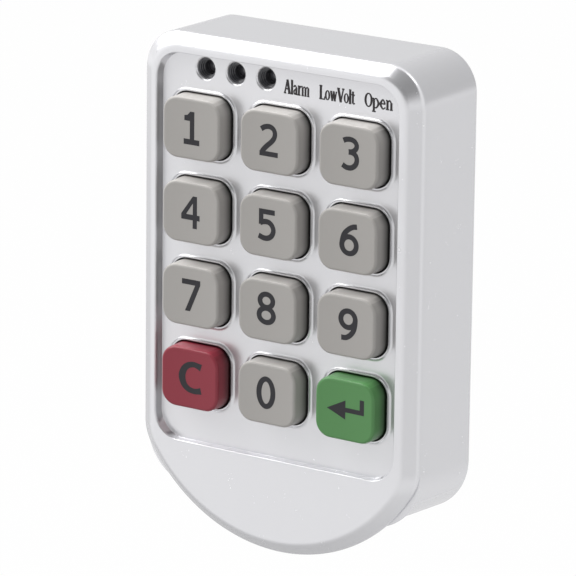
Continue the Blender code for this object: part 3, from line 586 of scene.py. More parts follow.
def finish_of(name, color, rough, metal=0.0, grain=3000.0, drift=60.0, vary=0.05, rough_vary=0.08,
              bump=0.1, specks=None, marks=None, painted_shade_by=None, sockets=None):
    """A material of one finish: a grained colour and roughness, a bump, specks or tool marks, and painted shade where
    painted_shade_by is given.
    """
    mat, tree = noded(bpy.data.materials, name)
    look = effect(tree, GRAIN, {"Color": (*color, 1), "Roughness": rough, "Grain": grain, "Drift": drift,
                                "Color amount": vary, "Rough amount": rough_vary})
    shade, roughness, height = look["Color"], look["Roughness"], look["Height"]
    if specks:
        shade = effect(tree, SPECKS, {**specks, "Color": shade})["Color"]
    if painted_shade_by:
        shade = effect(tree, painted_shade_by[0], {**painted_shade_by[1], "Color": shade})["Color"]
    if marks:
        lines = effect(tree, MARKS, {"Stretch": marks, "Roughness": roughness})
        roughness, height = lines["Roughness"], lines["Height"]
    relief = tree.nodes.new("ShaderNodeBump")
    normal = fill(relief, {"Strength": bump, "Distance": BUMP_HEIGHT, "Height": height})["Normal"]
    fill(tree.nodes["Principled BSDF"], {"Base Color": shade, "Metallic": metal, "Roughness": roughness,
                                         "Normal": normal, **(sockets or {})})
    return mat


# painted shade and painted top light on the keys' sides, and painted shade and light on the recess walls of the satin
# silver
KEY_SIDE_SHADE = (DEEP_SHADE, {"Front": (KEY_FACE + 1.0) * MM, "Back": FLOOR * MM, "Amount": 0.8, "Lift": 0.5})
SILVER = finish_of("satin_silver_paint", linear(231, 231, 234), 0.27, 0.68, grain=5200.0, drift=350.0,
                   vary=0.008, rough_vary=0.01, bump=0.002, painted_shade_by=(WALL_SHADE, {"Amount": 0.5}),
                   specks={"Speck color": (0.25, 0.25, 0.26, 1), "Scale": 130.0, "Size": 0.018, "Rare": 0.985})
CAST = finish_of("bare_casting", linear(186, 187, 190), 0.5, 0.75, grain=1400.0, drift=70.0, vary=0.08,
                 rough_vary=0.2, bump=0.35)
GREY = finish_of("grey_key_plastic", (0.376, 0.361, 0.345), 0.45, grain=2200.0, drift=150.0, vary=0.025,
                 rough_vary=0.1, bump=0.15, painted_shade_by=KEY_SIDE_SHADE,
                 specks={"Speck color": (0.16, 0.15, 0.14, 1), "Scale": 160.0, "Size": 0.02, "Rare": 0.975})
RED, GREEN = (finish_of(name, color, 0.38, grain=2200.0, drift=150.0, vary=0.04, bump=0.15, painted_shade_by=KEY_SIDE_SHADE)
              for name, color in (("red_key_plastic", (0.243, 0.0195, 0.0365)),
                                  ("green_key_plastic", (0.079, 0.235, 0.073))))
LEGEND = finish_of("legend_ink", linear(38, 37, 42), 0.65, grain=3500.0, vary=0.12, bump=0.2)
LABEL = finish_of("label_ink", linear(40, 36, 38), 0.6, grain=3500.0, vary=0.15, bump=0.2)
LENS = finish_of("smoked_lens", (0.075, 0.075, 0.085), 0.1, grain=900.0, vary=0.2, rough_vary=0.05, bump=0.03,
                 sockets={"Coat Weight": 0.6, "Coat Roughness": 0.05})
SILICONE = finish_of("silicone_rubber", (0.5, 0.51, 0.51), 0.7, grain=1500.0, vary=0.06, bump=0.2)
LAMINATE = finish_of("board_laminate", (0.02, 0.13, 0.06), 0.4, grain=1100.0, drift=350.0, vary=0.3, bump=0.25)
BLACK = finish_of("black_plastic", (0.02, 0.02, 0.022), 0.5, grain=2500.0, vary=0.2, bump=0.3)
RUBBER = finish_of("rubber_pad", (0.03, 0.03, 0.03), 0.85, grain=1800.0, vary=0.2, bump=0.5)
STEEL = finish_of("plated_steel", (0.56, 0.57, 0.59), 0.28, 1.0, grain=2000.0, drift=120.0, vary=0.06,
                  rough_vary=0.15, bump=0.12, marks=(900.0, 900.0, 9000.0))
SPRING = finish_of("spring_bronze", (0.62, 0.5, 0.3), 0.3, 1.0, vary=0.08, marks=(800.0, 9000.0, 800.0))
BRASS = finish_of("brass", (0.65, 0.5, 0.2), 0.3, 1.0, vary=0.08, marks=(800.0, 6000.0, 800.0))
CELL = finish_of("cell_steel", (0.66, 0.67, 0.68), 0.22, 1.0, vary=0.04, marks=(3000.0, 3000.0, 400.0))
ALU = finish_of("bare_aluminium", (0.7, 0.7, 0.72), 0.32, 1.0, marks=(700.0, 7000.0, 700.0))


# -------- housing
def housing():
    """The casting: bevelled front, finger pull, body, recess, windows, lamp holes and inner bosses."""
    path = softened([(FACE_IN, FRONT), (CREASE_IN, FRONT), (0.0, FRONT + BEVEL_D), (0.0, FRONT + LIP - LIP_ROUND)],
                    (CREASE_ROUND, EDGE_ROUND), 7)
    rings = [flat_ring(front_outline(g / CREASE_IN), y) for g, y in path]
    for s, c in map(sin_cos, (20, 45, 70, 90)):
        rings.append(flat_ring(front_outline(0.0, LIP_ROUND * (1 - c)), FRONT + LIP - LIP_ROUND * (1 - s)))
    root = FRONT + LIP + ROOT_GAP
    for s, c in map(sin_cos, (0, 30, 60, 90)):
        rings.append(flat_ring(body_outline(BODY_Z - ROOT_ROUND * (1 - s)), root + ROOT_ROUND * (1 - c)))
    rings.append(flat_ring(body_outline(BODY_Z - BODY_DROP, DRAFT), 0.0))
    shell = skin("housing_shell", rings)

    wall = softened([(2.0, FRONT), (0.0, FRONT), (-REC_SLOPE, FLOOR), (-2.0, FLOOR)],
                    (REC_TOP_ROUND, REC_FOOT_ROUND), 5)[1:-1]
    wall = [(wall[0][0], FRONT - 1.0)] + wall

    def aside(g):
        """The side walls lean further in than the upper and lower ones, and sweep out into the floor."""
        return g if g > 0 else max(g, -REC_SLOPE) * REC_SIDE / REC_SLOPE + min(g + REC_SLOPE, 0.0) * REC_SWEEP

    cut(shell, skin("recess", [flat_ring(rounded(2 * (REC_W + aside(g)), REC_H + 2 * g, REC_R + g, REC_X, REC_MID, 16),
                                         y) for g, y in wall]))
    cut(shell, slab("cavity", cavity_outline(), BACK, 1.0))
    w, h, r = WIN_W + 2 * SLEEVE, WIN_H + 2 * SLEEVE, WIN_R + SLEEVE
    holes = [turned("hole", [(FLOOR - 1, 2.05), (FLOOR - 0.001, 1.95), (FLOOR + 0.06, 1.8), (FLOOR + 0.22, 1.66),
                             (FLOOR + 0.4, LAMP_HOLE_R), (BACK + 1, LAMP_HOLE_R)], x, LAMP_Z) for x in LAMPS]
    cut(shell, *[slab("window", rounded(w, h, r, x, z), FLOOR - 1, BACK + 1) for x in COLS for z in ROWS], *holes)
    post_end = span("circuit_board")[0].y - 0.3
    add(shell, *[turned("boss", [(BACK - 0.6, BOSS_R), (LEDGE, BOSS_R)], x, z, 32) for x, z in BOSSES],
        *[turned("post", [(BACK - 0.6, POST_R), (post_end, POST_R)], x, z, 24) for x, z in centres("board_screw_")])
    cut(shell, *[turned("bore", [(BACK + 4.0, BORE_R), (2.0, BORE_R)], x, z, 24) for x, z in BOSSES])
    cut(shell, slab("rebate", body_outline(BODY_Z - BODY_DROP, inset=REBATE), LEDGE, 1.0))
    finish(shell, "housing", SILVER, "satin_silver", ["front_housing"], 30)


def window_rims():
    """Raised rims round the twelve key windows, each with its sleeve through the panel."""
    top, floor, under, sleeve = FLOOR - RIM_H, FLOOR - 0.002, FLOOR + 0.2, SLEEVE - 0.02
    outer = RIM_IN + RIM_W
    flare = outer + 0.8
    path = softened([(RIM_IN, BACK), (RIM_IN, top), (outer, top), (outer + 0.14, floor), (flare, floor)],
                    (0.08, 0.06, 0.5), 6)
    path[-1] = (flare, FLOOR + 0.006)
    path += [(flare, under), (sleeve, under), (sleeve, BACK)]
    rim = skin("window_rims", [flat_ring(rounded(WIN_W + 2 * g, WIN_H + 2 * g, WIN_R + g, n=14), y)
                               for g, y in path], closed=True)
    grown(rim, grid_tree(), Across=3, Down=4, Width=COLS[2] - COLS[0], Height=ROWS[0] - ROWS[3],
          Centre=((COLS[0] + COLS[2]) / 2, 0.0, (ROWS[0] + ROWS[3]) / 2), Material=SILVER)
    finish(rim, "housing", SILVER, "satin_silver")


# -------- keys
def dish(x):
    """How far the face lies below the key's highest line at x from its middle."""
    return KEY_DISH * max(0.0, 1 - (x / (KEY_W / 2 - KEY_ROUND)) ** 2)


def key_cap():
    """A stem with rounded edges and a face hollowed from side to side, on its flange."""
    path = softened([(-1.6, KEY_FACE), (0.0, KEY_FACE), (KEY_FLARE, FLANGE_Y), (FLANGE, FLANGE_Y),
                     (FLANGE, FLANGE_Y + FLANGE_T), (0.0, FLANGE_Y + FLANGE_T)],
                    (KEY_ROUND, 0, 0.15, 0.15), 9)
    rings = [flat_ring(rounded(KEY_W + 2 * g, KEY_H + 2 * g, max(KEY_R + g, 0.4), n=9), y) for g, y in path]
    ob = skin("cap", rings)
    with opened(ob) as bm:
        sliced(bm, 0.62, 7)
        for v in bm.verts:
            near = max(0.0, min(1.0, (KEY_FACE + KEY_ROUND - v.co.y) / KEY_ROUND))
            v.co.y += dish(v.co.x) * near
    return smooth(ob, 40)


def flow(points, closed=False, n=6):
    """A smooth line through the given points, whose third number is the stroke's width."""
    out, count = [], len(points)
    for i in range(count if closed else count - 1):
        p0, p1, p2, p3 = (points[(i + k) % count] if closed else points[min(max(i + k, 0), count - 1)]
                          for k in (-1, 0, 1, 2))
        for j in range(n):
            t = j / n
            out.append([0.5 * (2 * b + (c - a) * t + (2 * a - 5 * b + 4 * c - d) * t * t
                               + (3 * b - a - 3 * c + d) * t ** 3) for a, b, c, d in zip(p0, p1, p2, p3)])
    return out if closed else out + [list(points[-1])]


def stroke(points, closed=False):
    """A flat pen stroke along (x, z, width) points."""
    rings, count = [], len(points)
    for i, (x, z, w) in enumerate(points):
        a = points[i - 1] if i or closed else points[i]
        b = points[(i + 1) % count] if i < count - 1 or closed else points[i]
        away = Vector((a[1] - b[1], b[0] - a[0])).normalized() * (w / 2)
        rings.append([(x + k * away.x, y, z + k * away.y)
                      for k, y in ((1, -0.01), (-1, -0.01), (-1, 0.01), (1, 0.01))])
    return skin("stroke", rings, closed)


def line(x0, z0, x1, z1, w):
    return stroke([(x0, z0, w + BOLDER), (x1, z1, w + BOLDER)])


def curve(*points, w=0.8, closed=False):
    return stroke(flow([p if len(p) == 3 else (*p, w) for p in points], closed), closed)


def loop(x, z, rx, rz, side, cap):
    """A closed round stroke, side wide at its sides and cap wide at its top and foot."""
    turns = [2 * math.pi * i / 16 for i in range(16)]
    return curve(*[(x + rx * math.cos(a), z + rz * math.sin(a), cap + (side - cap) * math.cos(a) ** 2)
                   for a in turns], closed=True)


def merged(name, pieces):
    first, rest = pieces[0], pieces[1:]
    first.name = name
    return add(first, *rest) if rest else first


def printed(ob, x, z, face, follow=False):
    """Lays a flat legend of ink on a face, following the key's hollow where it is on one."""
    with opened(ob) as bm:
        bmesh.ops.remove_doubles(bm, verts=bm.verts, dist=1e-5)
        if follow:
            sliced(bm, 0.6, 6)
        middle_y = sum(v.co.y for v in bm.verts) / len(bm.verts)
        for v in bm.verts:
            front = v.co.y < middle_y
            v.co.y = face + (dish(v.co.x) if follow else 0.0) + (-INK if front else INK_DEPTH)
            v.co.x += x
            v.co.z += z
        bmesh.ops.recalc_face_normals(bm, faces=bm.faces)
    return ob


def poly(*points):
    return slab("stroke", points, -0.01, 0.01)


# the legends, drawn about the middle of their key
LEGENDS = {
    "1": lambda: [poly((0.53, 2.72), (0.53, -1.55), (1.48, -1.55), (1.48, -2.4), (-1.39, -2.4), (-1.39, -1.55),
                       (-0.29, -1.55), (-0.29, 1.26), (-1.29, 1.26), (-1.29, 2.06), (-0.7, 2.18), (-0.22, 2.72))],
    "2": lambda: [curve((-1.46, 1.95), (-0.85, 2.33), (-0.04, 2.48), (0.68, 2.2), (1.0, 1.6), (0.9, 0.88),
                        (0.42, 0.22), (-0.42, -0.52), (-1.12, -1.25), (-1.3, -1.62)),
                  poly((-1.72, -2.12), (-1.72, -1.35), (1.57, -1.35), (1.57, -2.12))],
    "3": lambda: [curve((-0.96, 2.32), (-0.4, 2.56), (0.35, 2.62), (1.05, 2.38), (1.4, 1.8), (1.2, 1.2), (0.6, 0.8),
                        (-0.02, 0.72)),
                  curve((-0.02, 0.7), (0.75, 0.62), (1.3, 0.2), (1.45, -0.45), (1.2, -1.15), (0.5, -1.65),
                        (-0.4, -1.68), (-1.08, -1.34), w=0.82)],
    "4": lambda: [poly((0.36, 2.7), (1.13, 2.7), (1.13, -2.34), (0.34, -2.34)),
                  poly((-1.745, -0.2), (1.63, -0.2), (1.63, -1.05), (-1.745, -1.05)),
                  poly((0.36, 2.7), (0.9, 2.7), (0.9, 1.95), (0.36, 1.58), (-0.87, -0.22), (-0.87, -0.6),
                       (-1.745, -0.6), (-1.745, -0.2))],
    "5": lambda: [poly((-1.7, 2.76), (1.15, 2.76), (1.15, 1.96), (-1.7, 1.96)),
                  poly((-1.7, 2.5), (-0.9, 2.5), (-0.9, 0.55), (-1.7, 0.3)),
                  curve((-1.5, 0.55), (-0.85, 0.8), (-0.05, 0.82), (0.6, 0.42), (0.92, -0.35), (0.68, -1.12),
                        (0.05, -1.62), (-0.8, -1.72), (-1.72, -1.42), w=0.84)],
    "6": lambda: [loop(0.31, -0.44, 1.28, 1.28, 0.88, 0.8),
                  curve((1.68, 2.52), (0.9, 2.38), (0.05, 1.85), (-0.62, 1.1), (-0.93, 0.1), (-0.95, -0.5), w=0.82)],
    "7": lambda: [poly((-1.54, 2.68), (1.84, 2.68), (1.84, 1.95), (-0.04, -2.34), (-0.97, -2.34), (0.88, 1.84),
                       (-1.54, 1.84))],
    "8": lambda: [loop(-0.19, 1.62, 1.16, 1.02, 0.86, 0.8), loop(-0.19, -0.64, 1.3, 1.1, 0.88, 0.8)],
    "9": lambda: [loop(0.34, 1.2, 1.28, 1.26, 0.88, 0.82),
                  curve((-0.84, -1.72), (0, -1.66), (0.75, -1.2), (1.36, -0.4), (1.6, 0.5), (1.62, 1.2), w=0.82)],
    "clear": lambda: [curve((2.1, 2.06, 1.15), (1.5, 2.24, 0.95), (0.75, 2.38, 0.88), (-0.25, 2.15, 0.95),
                            (-1.05, 1.45, 1.1), (-1.42, 0.28, 1.24), (-1.05, -0.95, 1.1), (-0.25, -1.62, 0.95),
                            (0.75, -1.84, 0.88), (1.5, -1.76, 0.92), (2.1, -1.62, 1.05))],
    "0": lambda: [loop(-0.1, 0.27, 1.27, 2.15, 0.92, 0.82)],
    "enter": lambda: [poly((-3.18, -0.03), (0.1, 1.6), (0.1, 0.48), (2.67, 0.48), (2.67, 2.1), (3.47, 2.1),
                           (3.47, -0.26), (0.1, -0.26), (0.1, -1.4))],
}


def keys():
    cap = key_cap()
    paints = {"clear": (RED, "key_red"), "enter": (GREEN, "key_green")}
    for row, z in zip(TAGS, ROWS):
        for tag, x in zip(row, COLS):
            node = "key_" + tag
            ob = shown("cap_" + tag, cap.data.copy())
            ob.data.transform(Matrix.Translation((x, 0, z)))
            mat, slot = paints.get(tag, (GREY, "key_grey"))
            finish(ob, node, mat, slot, [node], None)
            ink = printed(merged("legend_" + tag, LEGENDS[tag]()), x, z, KEY_FACE + KEY_INK_DOWN, follow=True)
            finish(ink, node, LEGEND, angle=30)
    bpy.data.objects.remove(cap)


def foot(x0, x1, z=0.07):
    return line(x0, z, x1, z, 0.15)


# narrow bold letters with serifs, each on its baseline and starting at x = 0
LETTERS = {
    "A": lambda: [line(0.14, 0, 0.62, 2.13, 0.2), line(0.6, 2.13, 1.02, 0, 0.38),
                  line(0.3, 0.72, 0.85, 0.72, 0.17), foot(0, 0.42), foot(0.72, 1.3)],
    "l": lambda: [line(0.21, 0, 0.21, 2.2, 0.33), foot(0, 0.44), foot(0, 0.25, 2.12)],
    "a": lambda: [line(0.56, 0, 0.56, 1.1, 0.3), curve((0.1, 1.15), (0.3, 1.42), (0.6, 1.1), w=0.22),
                  curve((0.55, 0.88), (0.22, 0.68), (0.15, 0.36), (0.32, 0.1), (0.56, 0.28), w=0.24),
                  foot(0.55, 0.86)],
    "r": lambda: [line(0.22, 0, 0.22, 1.5, 0.3), foot(0, 0.5), foot(0, 0.25, 1.43),
                  curve((0.3, 1.0), (0.45, 1.36), (0.68, 1.34), w=0.26)],
    "m": lambda: [line(x, 0, x, 1.3, 0.28) for x in (0.2, 0.7, 1.2)]
                 + [foot(x - 0.2, x + 0.2) for x in (0.2, 0.7, 1.2)]
                 + [curve((x, 1.1), (x + 0.3, 1.42), (x + 0.5, 1.15), w=0.2) for x in (0.2, 0.7)]
                 + [foot(0, 0.2, 1.43)],
    "L": lambda: [line(0.26, 0, 0.26, 2.13, 0.35), foot(0, 0.52, 2.06), foot(0, 0.98),
                  line(0.94, 0.02, 0.98, 0.5, 0.16)],
    "o": lambda: [loop(0.44, 0.75, 0.31, 0.68, 0.31, 0.17)],
    "w": lambda: [line(0.14, 1.45, 0.38, 0, 0.3), line(0.36, 0, 0.62, 1.45, 0.17),
                  line(0.6, 1.45, 0.85, 0, 0.3), line(0.83, 0, 1.08, 1.45, 0.17), foot(0, 0.34, 1.42),
                  foot(0.46, 0.76, 1.42), foot(0.96, 1.2, 1.42)],
    "V": lambda: [line(0.2, 2.1, 0.68, 0, 0.37), line(0.66, 0, 1.1, 2.1, 0.19), foot(0, 0.5, 2.06),
                  foot(0.85, 1.3, 2.06)],
    "t": lambda: [line(0.27, 0.1, 0.27, 1.95, 0.29), foot(0, 0.6, 1.42),
                  curve((0.27, 0.3), (0.4, 0.07), (0.64, 0.2), w=0.2)],
    "O": lambda: [loop(0.72, 1.07, 0.53, 0.98, 0.38, 0.2)],
    "p": lambda: [line(0.3, -0.58, 0.3, 1.45, 0.33), foot(0, 0.64, -0.53), foot(0, 0.3, 1.42),
                  curve((0.33, 1.25, 0.18), (0.72, 1.45, 0.22), (1.1, 0.75, 0.38), (0.72, 0.06, 0.22),
                        (0.33, 0.2, 0.18))],
    "e": lambda: [curve((0.98, 0.82, 0.3), (0.6, 1.45, 0.22), (0.19, 0.75, 0.38), (0.6, 0.06, 0.22),
                        (1.05, 0.34, 0.2)), line(0.17, 0.82, 1.04, 0.82, 0.17)],
    "n": lambda: [line(0.27, 0, 0.27, 1.45, 0.33), line(0.95, 0, 0.95, 1.15, 0.33),
                  curve((0.27, 1.1), (0.64, 1.45), (0.95, 1.05), w=0.24), foot(0, 0.54), foot(0.68, 1.2),
                  foot(0, 0.27, 1.42)],
}
# each word's letters, and where each starts
WORDS = {"alarm": ("Alarm", (0.37, 1.6, 2.03, 2.83, 3.52)),
         "low_volt": ("LowVolt", (6.69, 7.7, 8.62, 9.83, 11.03, 11.93, 12.36)),
         "open": ("Open", (14.66, 16.02, 17.3, 18.43))}
BASELINE = 33.06


def labels():
    for word, (letters, places) in WORDS.items():
        inks = []
        for letter, x in zip(letters, places):
            inks.append(merged(letter, LETTERS[letter]()))
            inks[-1].data.transform(Matrix.Translation((x, 0, BASELINE)))
        finish(printed(merged("label_" + word, inks), 0.0, 0.0, FLOOR), "housing", LABEL, angle=30)


# -------- lamps
def lamps():
    """Three smoked lenses: a low dome, a ribbed collar that fills the hole, and a flanged foot."""
    for node, x in zip(LAMP_NODES, LAMPS):
        tip, back, _ = ends(node)
        flange = back - 0.7
        dome = [(tip, 0.0), (tip + 0.04, 0.4), (tip + 0.16, 0.75), (tip + 0.4, 1.0), (tip + 0.42, 1.12)]
        collar = [(FLOOR + y, r) for y, r in ((1.5, 1.14), (1.46, 1.24), (1.1, 1.25), (1.06, 1.35), (0.7, 1.36),
                                              (0.66, 1.46), (0.5, 1.5), (0.48, 1.57))]
        stem = [(tip + 0.5, 1.57), (tip + 0.55, LENS_R), (flange, LENS_R), (flange, LENS_FLANGE_R),
                (back, LENS_FLANGE_R), (back, 0.0)]
        ob = turned(node.replace("led", "lens"), dome + collar + stem, x, LAMP_Z, 40)
        finish(ob, "housing", LENS, "smoked_lens", [node])


# -------- door side
def recessed_head(ob, y, r, x, z, deep):
    """Cuts a cross recess into a screw head whose end lies at y."""
    thin, long = r * 0.16, r * 0.62
    cross = [(thin, long), (thin, thin), (long, thin)]
    for _ in range(3):
        cross += [(v, -u) for u, v in cross[-3:]]
    rings = [[(x + u * k, yy, z + v * k) for u, v in cross] for yy, k in ((y + 0.3, 1.0), (y, 1.0), (y - deep, 0.5))]
    return cut(ob, skin("cross", rings))


def on_spindle(name, profile, n=64, ring=False):
    return turned(name, profile, 0, SPINDLE_Z, n, ring)


def plated(ob, node, body="housing", angle=30):
    finish(ob, body, STEEL, "plated_steel", [node], angle)


def back_plate():
    """The plate with its eased edge, tapped pads, barrel hole and countersunk screw holes."""
    rings = [flat_ring(body_outline(BODY_Z - BODY_DROP, inset=REBATE + PLATE_GAP + g), y)
             for g, y in ((0.0, -PLATE_T), (0.0, -0.2), (0.06, -0.06), (0.2, 0.0))]
    plate = skin("plate", rings)
    add(plate, *[turned("pad", [(PLATE_LOW.y, PAD_R), (PLATE_LOW.y + 0.2, PAD_R + 0.2), (-PLATE_T + 0.4, PAD_R + 0.2)],
                        x, PAD_Z, 40) for x in PADS_X])
    r = BARREL_HOLE_R
    cut(plate, on_spindle("hole", [(-PLATE_T - 1, r), (-0.2, r), (0.0, r + 0.2), (1.0, r + 0.2)]),
        *[turned("tap", [(PLATE_LOW.y + 0.8, TAP_R), (-0.4, TAP_R), (0.0, TAP_R + 0.4), (1.0, TAP_R + 0.4)], x, PAD_Z,
                 40) for x in PADS_X],
        *[turned("sink", [(-PLATE_T - 1, SINK_BORE_R), (-SINK_DEEP, SINK_BORE_R), (0.0, SINK_R), (1.0, SINK_R)], x, z,
                 40) for x, z in BOSSES])
    finish(plate, "housing", CAST, "satin_silver", ["back_plate"], 30)


def plate_screws():
    """Four countersunk screws with cross recesses."""
    for corner, (x, z) in zip(CORNERS, BOSSES):
        y0, y1, _ = ends("plate_screw_" + corner)
        ob = turned("screw_" + corner, [(y0, 0.0), (y0, SCREW_R - 0.4), (y0 + 0.4, SCREW_R), (y1 - SINK_DEEP, SCREW_R),
                                        (y1 - 0.12, HEAD_R - 0.1), (y1 - 0.05, HEAD_R), (y1, HEAD_R - 0.1), (y1, 0.0)],
                    x, z, 40)
        recessed_head(ob, y1, HEAD_R, x, z, 1.0)
        plated(ob, "plate_screw_" + corner)


def barrel():
    """The barrel's flange inside the plate, its core and its thread, with the nut and washer."""
    y0, y1, _ = ends("lock_barrel")
    core = on_spindle("barrel", [(y0, BARREL_BORE), (y0, BARREL_FLANGE_R), (LEDGE, BARREL_FLANGE_R), (LEDGE, BARREL_R),
                                 (y1 - 0.5, BARREL_R), (y1, BARREL_R - 0.38), (y1, BARREL_BORE + 0.33),
                                 (y1 - 0.3, BARREL_BORE)], ring=True)
    finish(core, "housing", STEEL, "satin_silver", ["lock_barrel"], 30)
    start = LEDGE + 0.6
    length = y1 - 0.9 - start
    ridge = grown(link("barrel_thread", bmesh.new()), thread_tree(), Radius=THREAD_R, Ridge=RIDGE,
                  Turns=length / PITCH, Length=length, Steps=48, Start=(0.0, start, SPINDLE_Z), Material=STEEL)
    finish(ridge, "housing", STEEL, "satin_silver", angle=50)

    y0, y1, r = ends("barrel_nut")
    nut = on_spindle("nut", [(y0, r), (y1, r)], 6)
    bevels = skin("round", [[(u, y, SPINDLE_Z + v) for u, v in arc(0, 0, k * r, 0, 354, 59)] for y, k in
                            ((y0 - 0.1, 0.85), (y0 + 0.75, 1.002), (y1 - 0.75, 1.002), (y1 + 0.1, 0.85))])
    boolean(nut, [bevels], "INTERSECT")
    wide = NUT_BORE_R + 0.44
    cut(nut, on_spindle("bore", [(y0 - 1, wide), (y0, wide), (y0 + 0.4, NUT_BORE_R), (y1 - 0.4, NUT_BORE_R), (y1, wide),
                                 (y1 + 1, wide)]))
    plated(nut, "barrel_nut", angle=25)
    y0, y1, r = ends("barrel_washer")
    disc = on_spindle("washer", [(y0, BARREL_HOLE_R), (y0, r - 0.1), (y0 + 0.1, r), (y1 - 0.25, r), (y1, r - 0.25),
                                 (y1, BARREL_HOLE_R + 0.1), (y1 - 0.1, BARREL_HOLE_R)], ring=True)
    plated(disc, "barrel_washer")


def cam():
    """A stamped blade with eased edges, held by its screw."""
    low, high = span("cam")
    y0, y1 = low.y, high.y
    blade = []
    for g, y in ((0.25, y0), (0.06, y0 + 0.07), (0.0, y0 + 0.25), (0.0, y1 - 0.25), (0.06, y1 - 0.07), (0.25, y1)):
        pts = arc(0, SPINDLE_Z, high.z - SPINDLE_Z - g, 105, -105, 40)
        pts += arc(low.x + CAM_TIP_R, SPINDLE_Z, CAM_TIP_R - g, -100, -260, 24)
        blade.append(flat_ring(pts, y))
    ob = skin("cam_blade", blade)
    cut(ob, slab("square", rounded(CAM_SQUARE, CAM_SQUARE, 0.35, 0, SPINDLE_Z, 3), y0 - 1, y1 + 1))
    plated(ob, "cam", "cam_drive")
    y0, y1, r = ends("cam_screw")
    head, dome = y1 - 1.6, 1.1
    ob = on_spindle("cam_bolt", [(y0, 0.0), (y0, CAM_SCREW_R), (head, CAM_SCREW_R), (head, r - 0.1), (head + 0.15, r)]
                    + [(y1 - dome * (1 - math.sin(a)), r * math.cos(a)) for a in
                       (math.pi / 2 * i / 8 for i in range(1, 8))] + [(y1, 0.0)], 40)
    recessed_head(ob, y1, r * 0.9, 0, SPINDLE_Z, 0.9)
    plated(ob, "cam_screw", "cam_drive")


# -------- what stays as the frame has it
KEPT = {
    "silicone_mat": SILICONE, "circuit_board": LAMINATE, "motor_pad": RUBBER,
    **dict.fromkeys(("led_spacer", "microcontroller", "motor_driver", "buzzer", "battery_holder",
                     "limit_switch_locked", "limit_switch_open"), BLACK),
    **dict.fromkeys(("motor_contact_positive", "motor_contact_negative", "battery_contact_left",
                     "battery_contact_right", "battery_bridge"), SPRING),
    **dict.fromkeys(("coin_cell_left", "coin_cell_right"), CELL), **dict.fromkeys(("capacitor", "motor"), ALU),
    **dict.fromkeys(("worm", "worm_wheel"), BRASS),
    **dict.fromkeys(["spindle", "cam_washer"] + ["board_screw_" + c for c in CORNERS], STEEL)}


def frame_finishes():
    for node, mat in KEPT.items():
        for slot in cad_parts[node].material_slots:
            slot.material = mat


# -------- room, light and camera
FLOOR_Z, FLOOR_HALF = -0.3, 6.0
# patches of painted shade on the floor, seen only in reflections: a painted shadow under the lock, and dimmer zones at
# the front right, behind and at the left; centre, inner and outer reach, what is left
PAINTED_DIM_PATCHES = (((-0.25, -0.05), 0.1, 0.6, 0.52), ((0.75, -1.0), 0.1, 0.8, 0.66), ((0.6, 1.1), 0.1, 1.2, 0.88),
               ((-1.05, 0.3), 0.2, 0.9, 0.55))
# how much of the floor is white to the camera and to reflections
SEEN_WHITE, MIRRORED_WHITE = 0.985, 0.9
# what the satin paint mirrors: white walls, dimmer behind and at the far left, with a dark gap
# high in front; LIGHT_WAY is where the soft light of the room comes from
GAP_WAY, GAP_EDGE, GAP_CORE, GAP_LEFT = Vector((0.14, -0.76, 0.63)).normalized(), 0.7, 0.88, 0.03
BEHIND = 0.6
LEFT_WAY, LEFTWARD = Vector((-0.95, 0.1, 0.3)).normalized(), 0.75
LIGHT_WAY, LIGHT_LOW, LIGHT_HIGH = Vector((-0.4, -0.55, 0.73)).normalized(), 0.2, 0.85


def pale_floor():
    """A pale matt floor, white to the camera; to reflections it shows painted shade, with a painted shadow under the
    lock and dimmer patches at the front right, behind, and at the left."""
    mat, tree = noded(bpy.data.materials, "pale_floor")
    tree.nodes.remove(tree.nodes["Principled BSDF"])
    matt, glow, mix, path, place = shader_nodes(tree, "BsdfDiffuse", "Emission", "MixShader", "LightPath", "TexCoord")
    matt.inputs["Color"].default_value = (0.6, 0.6, 0.6, 1)
    patches = []
    for (x, y), inner, outer, left in PAINTED_DIM_PATCHES:
        away = vector_math("DISTANCE", place.outputs["Object"], (x, y, FLOOR_Z))
        patches.append(ramp(away, inner, outer, left))
    seen = path.outputs["Is Camera Ray"]
    put(glow.inputs["Strength"], larger(seen, times(*patches)))
    put(mix.inputs["Fac"], larger(times(seen, SEEN_WHITE), times(path.outputs["Is Glossy Ray"], MIRRORED_WHITE)))
    put(mix.inputs[1], matt.outputs["BSDF"])
    put(mix.inputs[2], glow.outputs["Emission"])
    joins((mix, "Shader", tree.nodes["Material Output"], "Surface"))
    return mat


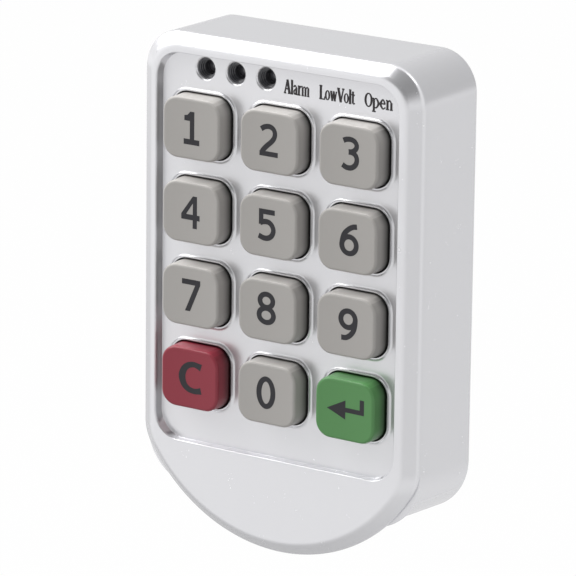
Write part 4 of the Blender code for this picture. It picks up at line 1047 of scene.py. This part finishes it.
def room():
    """The floor, and a world that is white to the camera and lights the lock softly."""
    bm = bmesh.new()
    bmesh.ops.create_grid(bm, x_segments=2, y_segments=2, size=FLOOR_HALF)
    floor = link("studio_floor", bm)
    floor.data.transform(Matrix.Translation((0, 0, FLOOR_Z)))
    floor.data.materials.append(pale_floor())

    bpy.context.scene.world, tree = noded(bpy.data.worlds, "studio")
    back = tree.nodes["Background"]
    back.inputs["Color"].default_value = (1, 1, 1, 1)
    rays, place = shader_nodes(tree, "LightPath", "TexCoord")
    path, way = rays.outputs, place.outputs["Generated"]
    gap, left, lit = (vector_math("DOT_PRODUCT", way, aim) for aim in (GAP_WAY, LEFT_WAY, LIGHT_WAY))
    mirrored = times(ramp(gap, GAP_EDGE, GAP_CORE, 1.0, GAP_LEFT), ramp(split_xyz(way)["Y"], 0.1, 0.7, 1.0, BEHIND),
                     ramp(left, 0.8, 0.97, 1.0, LEFTWARD), path["Is Glossy Ray"])
    seen = larger(path["Is Camera Ray"], path["Is Transmission Ray"])
    neither = minus(1.0, larger(seen, path["Is Glossy Ray"]))
    ambient = times(neither, ramp(lit, -0.35, 0.7, LIGHT_LOW, LIGHT_HIGH))
    put(back.inputs["Strength"], plus(plus(seen, mirrored), ambient))


def softbox(name, place, size, power):
    """A rectangular lamp that looks at the middle of the front."""
    light = bpy.data.lights.new(name, "AREA")
    light.shape, light.energy = "RECTANGLE", power
    light.size, light.size_y = size
    ob = shown(name, light)
    ob.location = place
    ob.rotation_euler = (Vector((0.0, -0.012, 0.0)) - Vector(place)).to_track_quat("-Z", "Y").to_euler()


def camera():
    """Looks down at the front from the right, with a long lens."""
    azimuth, elevation, roll = 33.71, 15.475, 0.69
    (sin_a, cos_a), (sin_e, cos_e), (sin_r, cos_r) = map(sin_cos, (azimuth, elevation, roll))
    target, away = Vector((2.386, -16.3, 3.546)) * MM, 0.752807
    back = Vector((sin_a * cos_e, -cos_a * cos_e, sin_e))
    right = Vector((0, 0, 1)).cross(back).normalized()
    up = back.cross(right)
    right, up = right * cos_r + up * sin_r, up * cos_r - right * sin_r
    cam = bpy.data.cameras.new("camera")
    cam.sensor_width, cam.lens = 36.0, 313.58
    cam.clip_start, cam.clip_end = 0.05, 30.0
    ob = shown("camera", cam)
    turn = Matrix((right, up, back)).transposed().to_4x4()
    ob.matrix_world = Matrix.Translation(target + back * away) @ turn
    bpy.context.scene.camera = ob


housing()
window_rims()
keys()
labels()
lamps()
back_plate()
plate_screws()
barrel()
cam()
frame_finishes()
room()
softbox("main", (-0.78, -0.24, 0.77), (0.85, 0.9), 13.0)
softbox("overhead", (0.42, -0.1, 0.8), (0.45, 0.45), 1.0)
camera()
bpy.context.scene.view_settings.view_transform = "Standard"
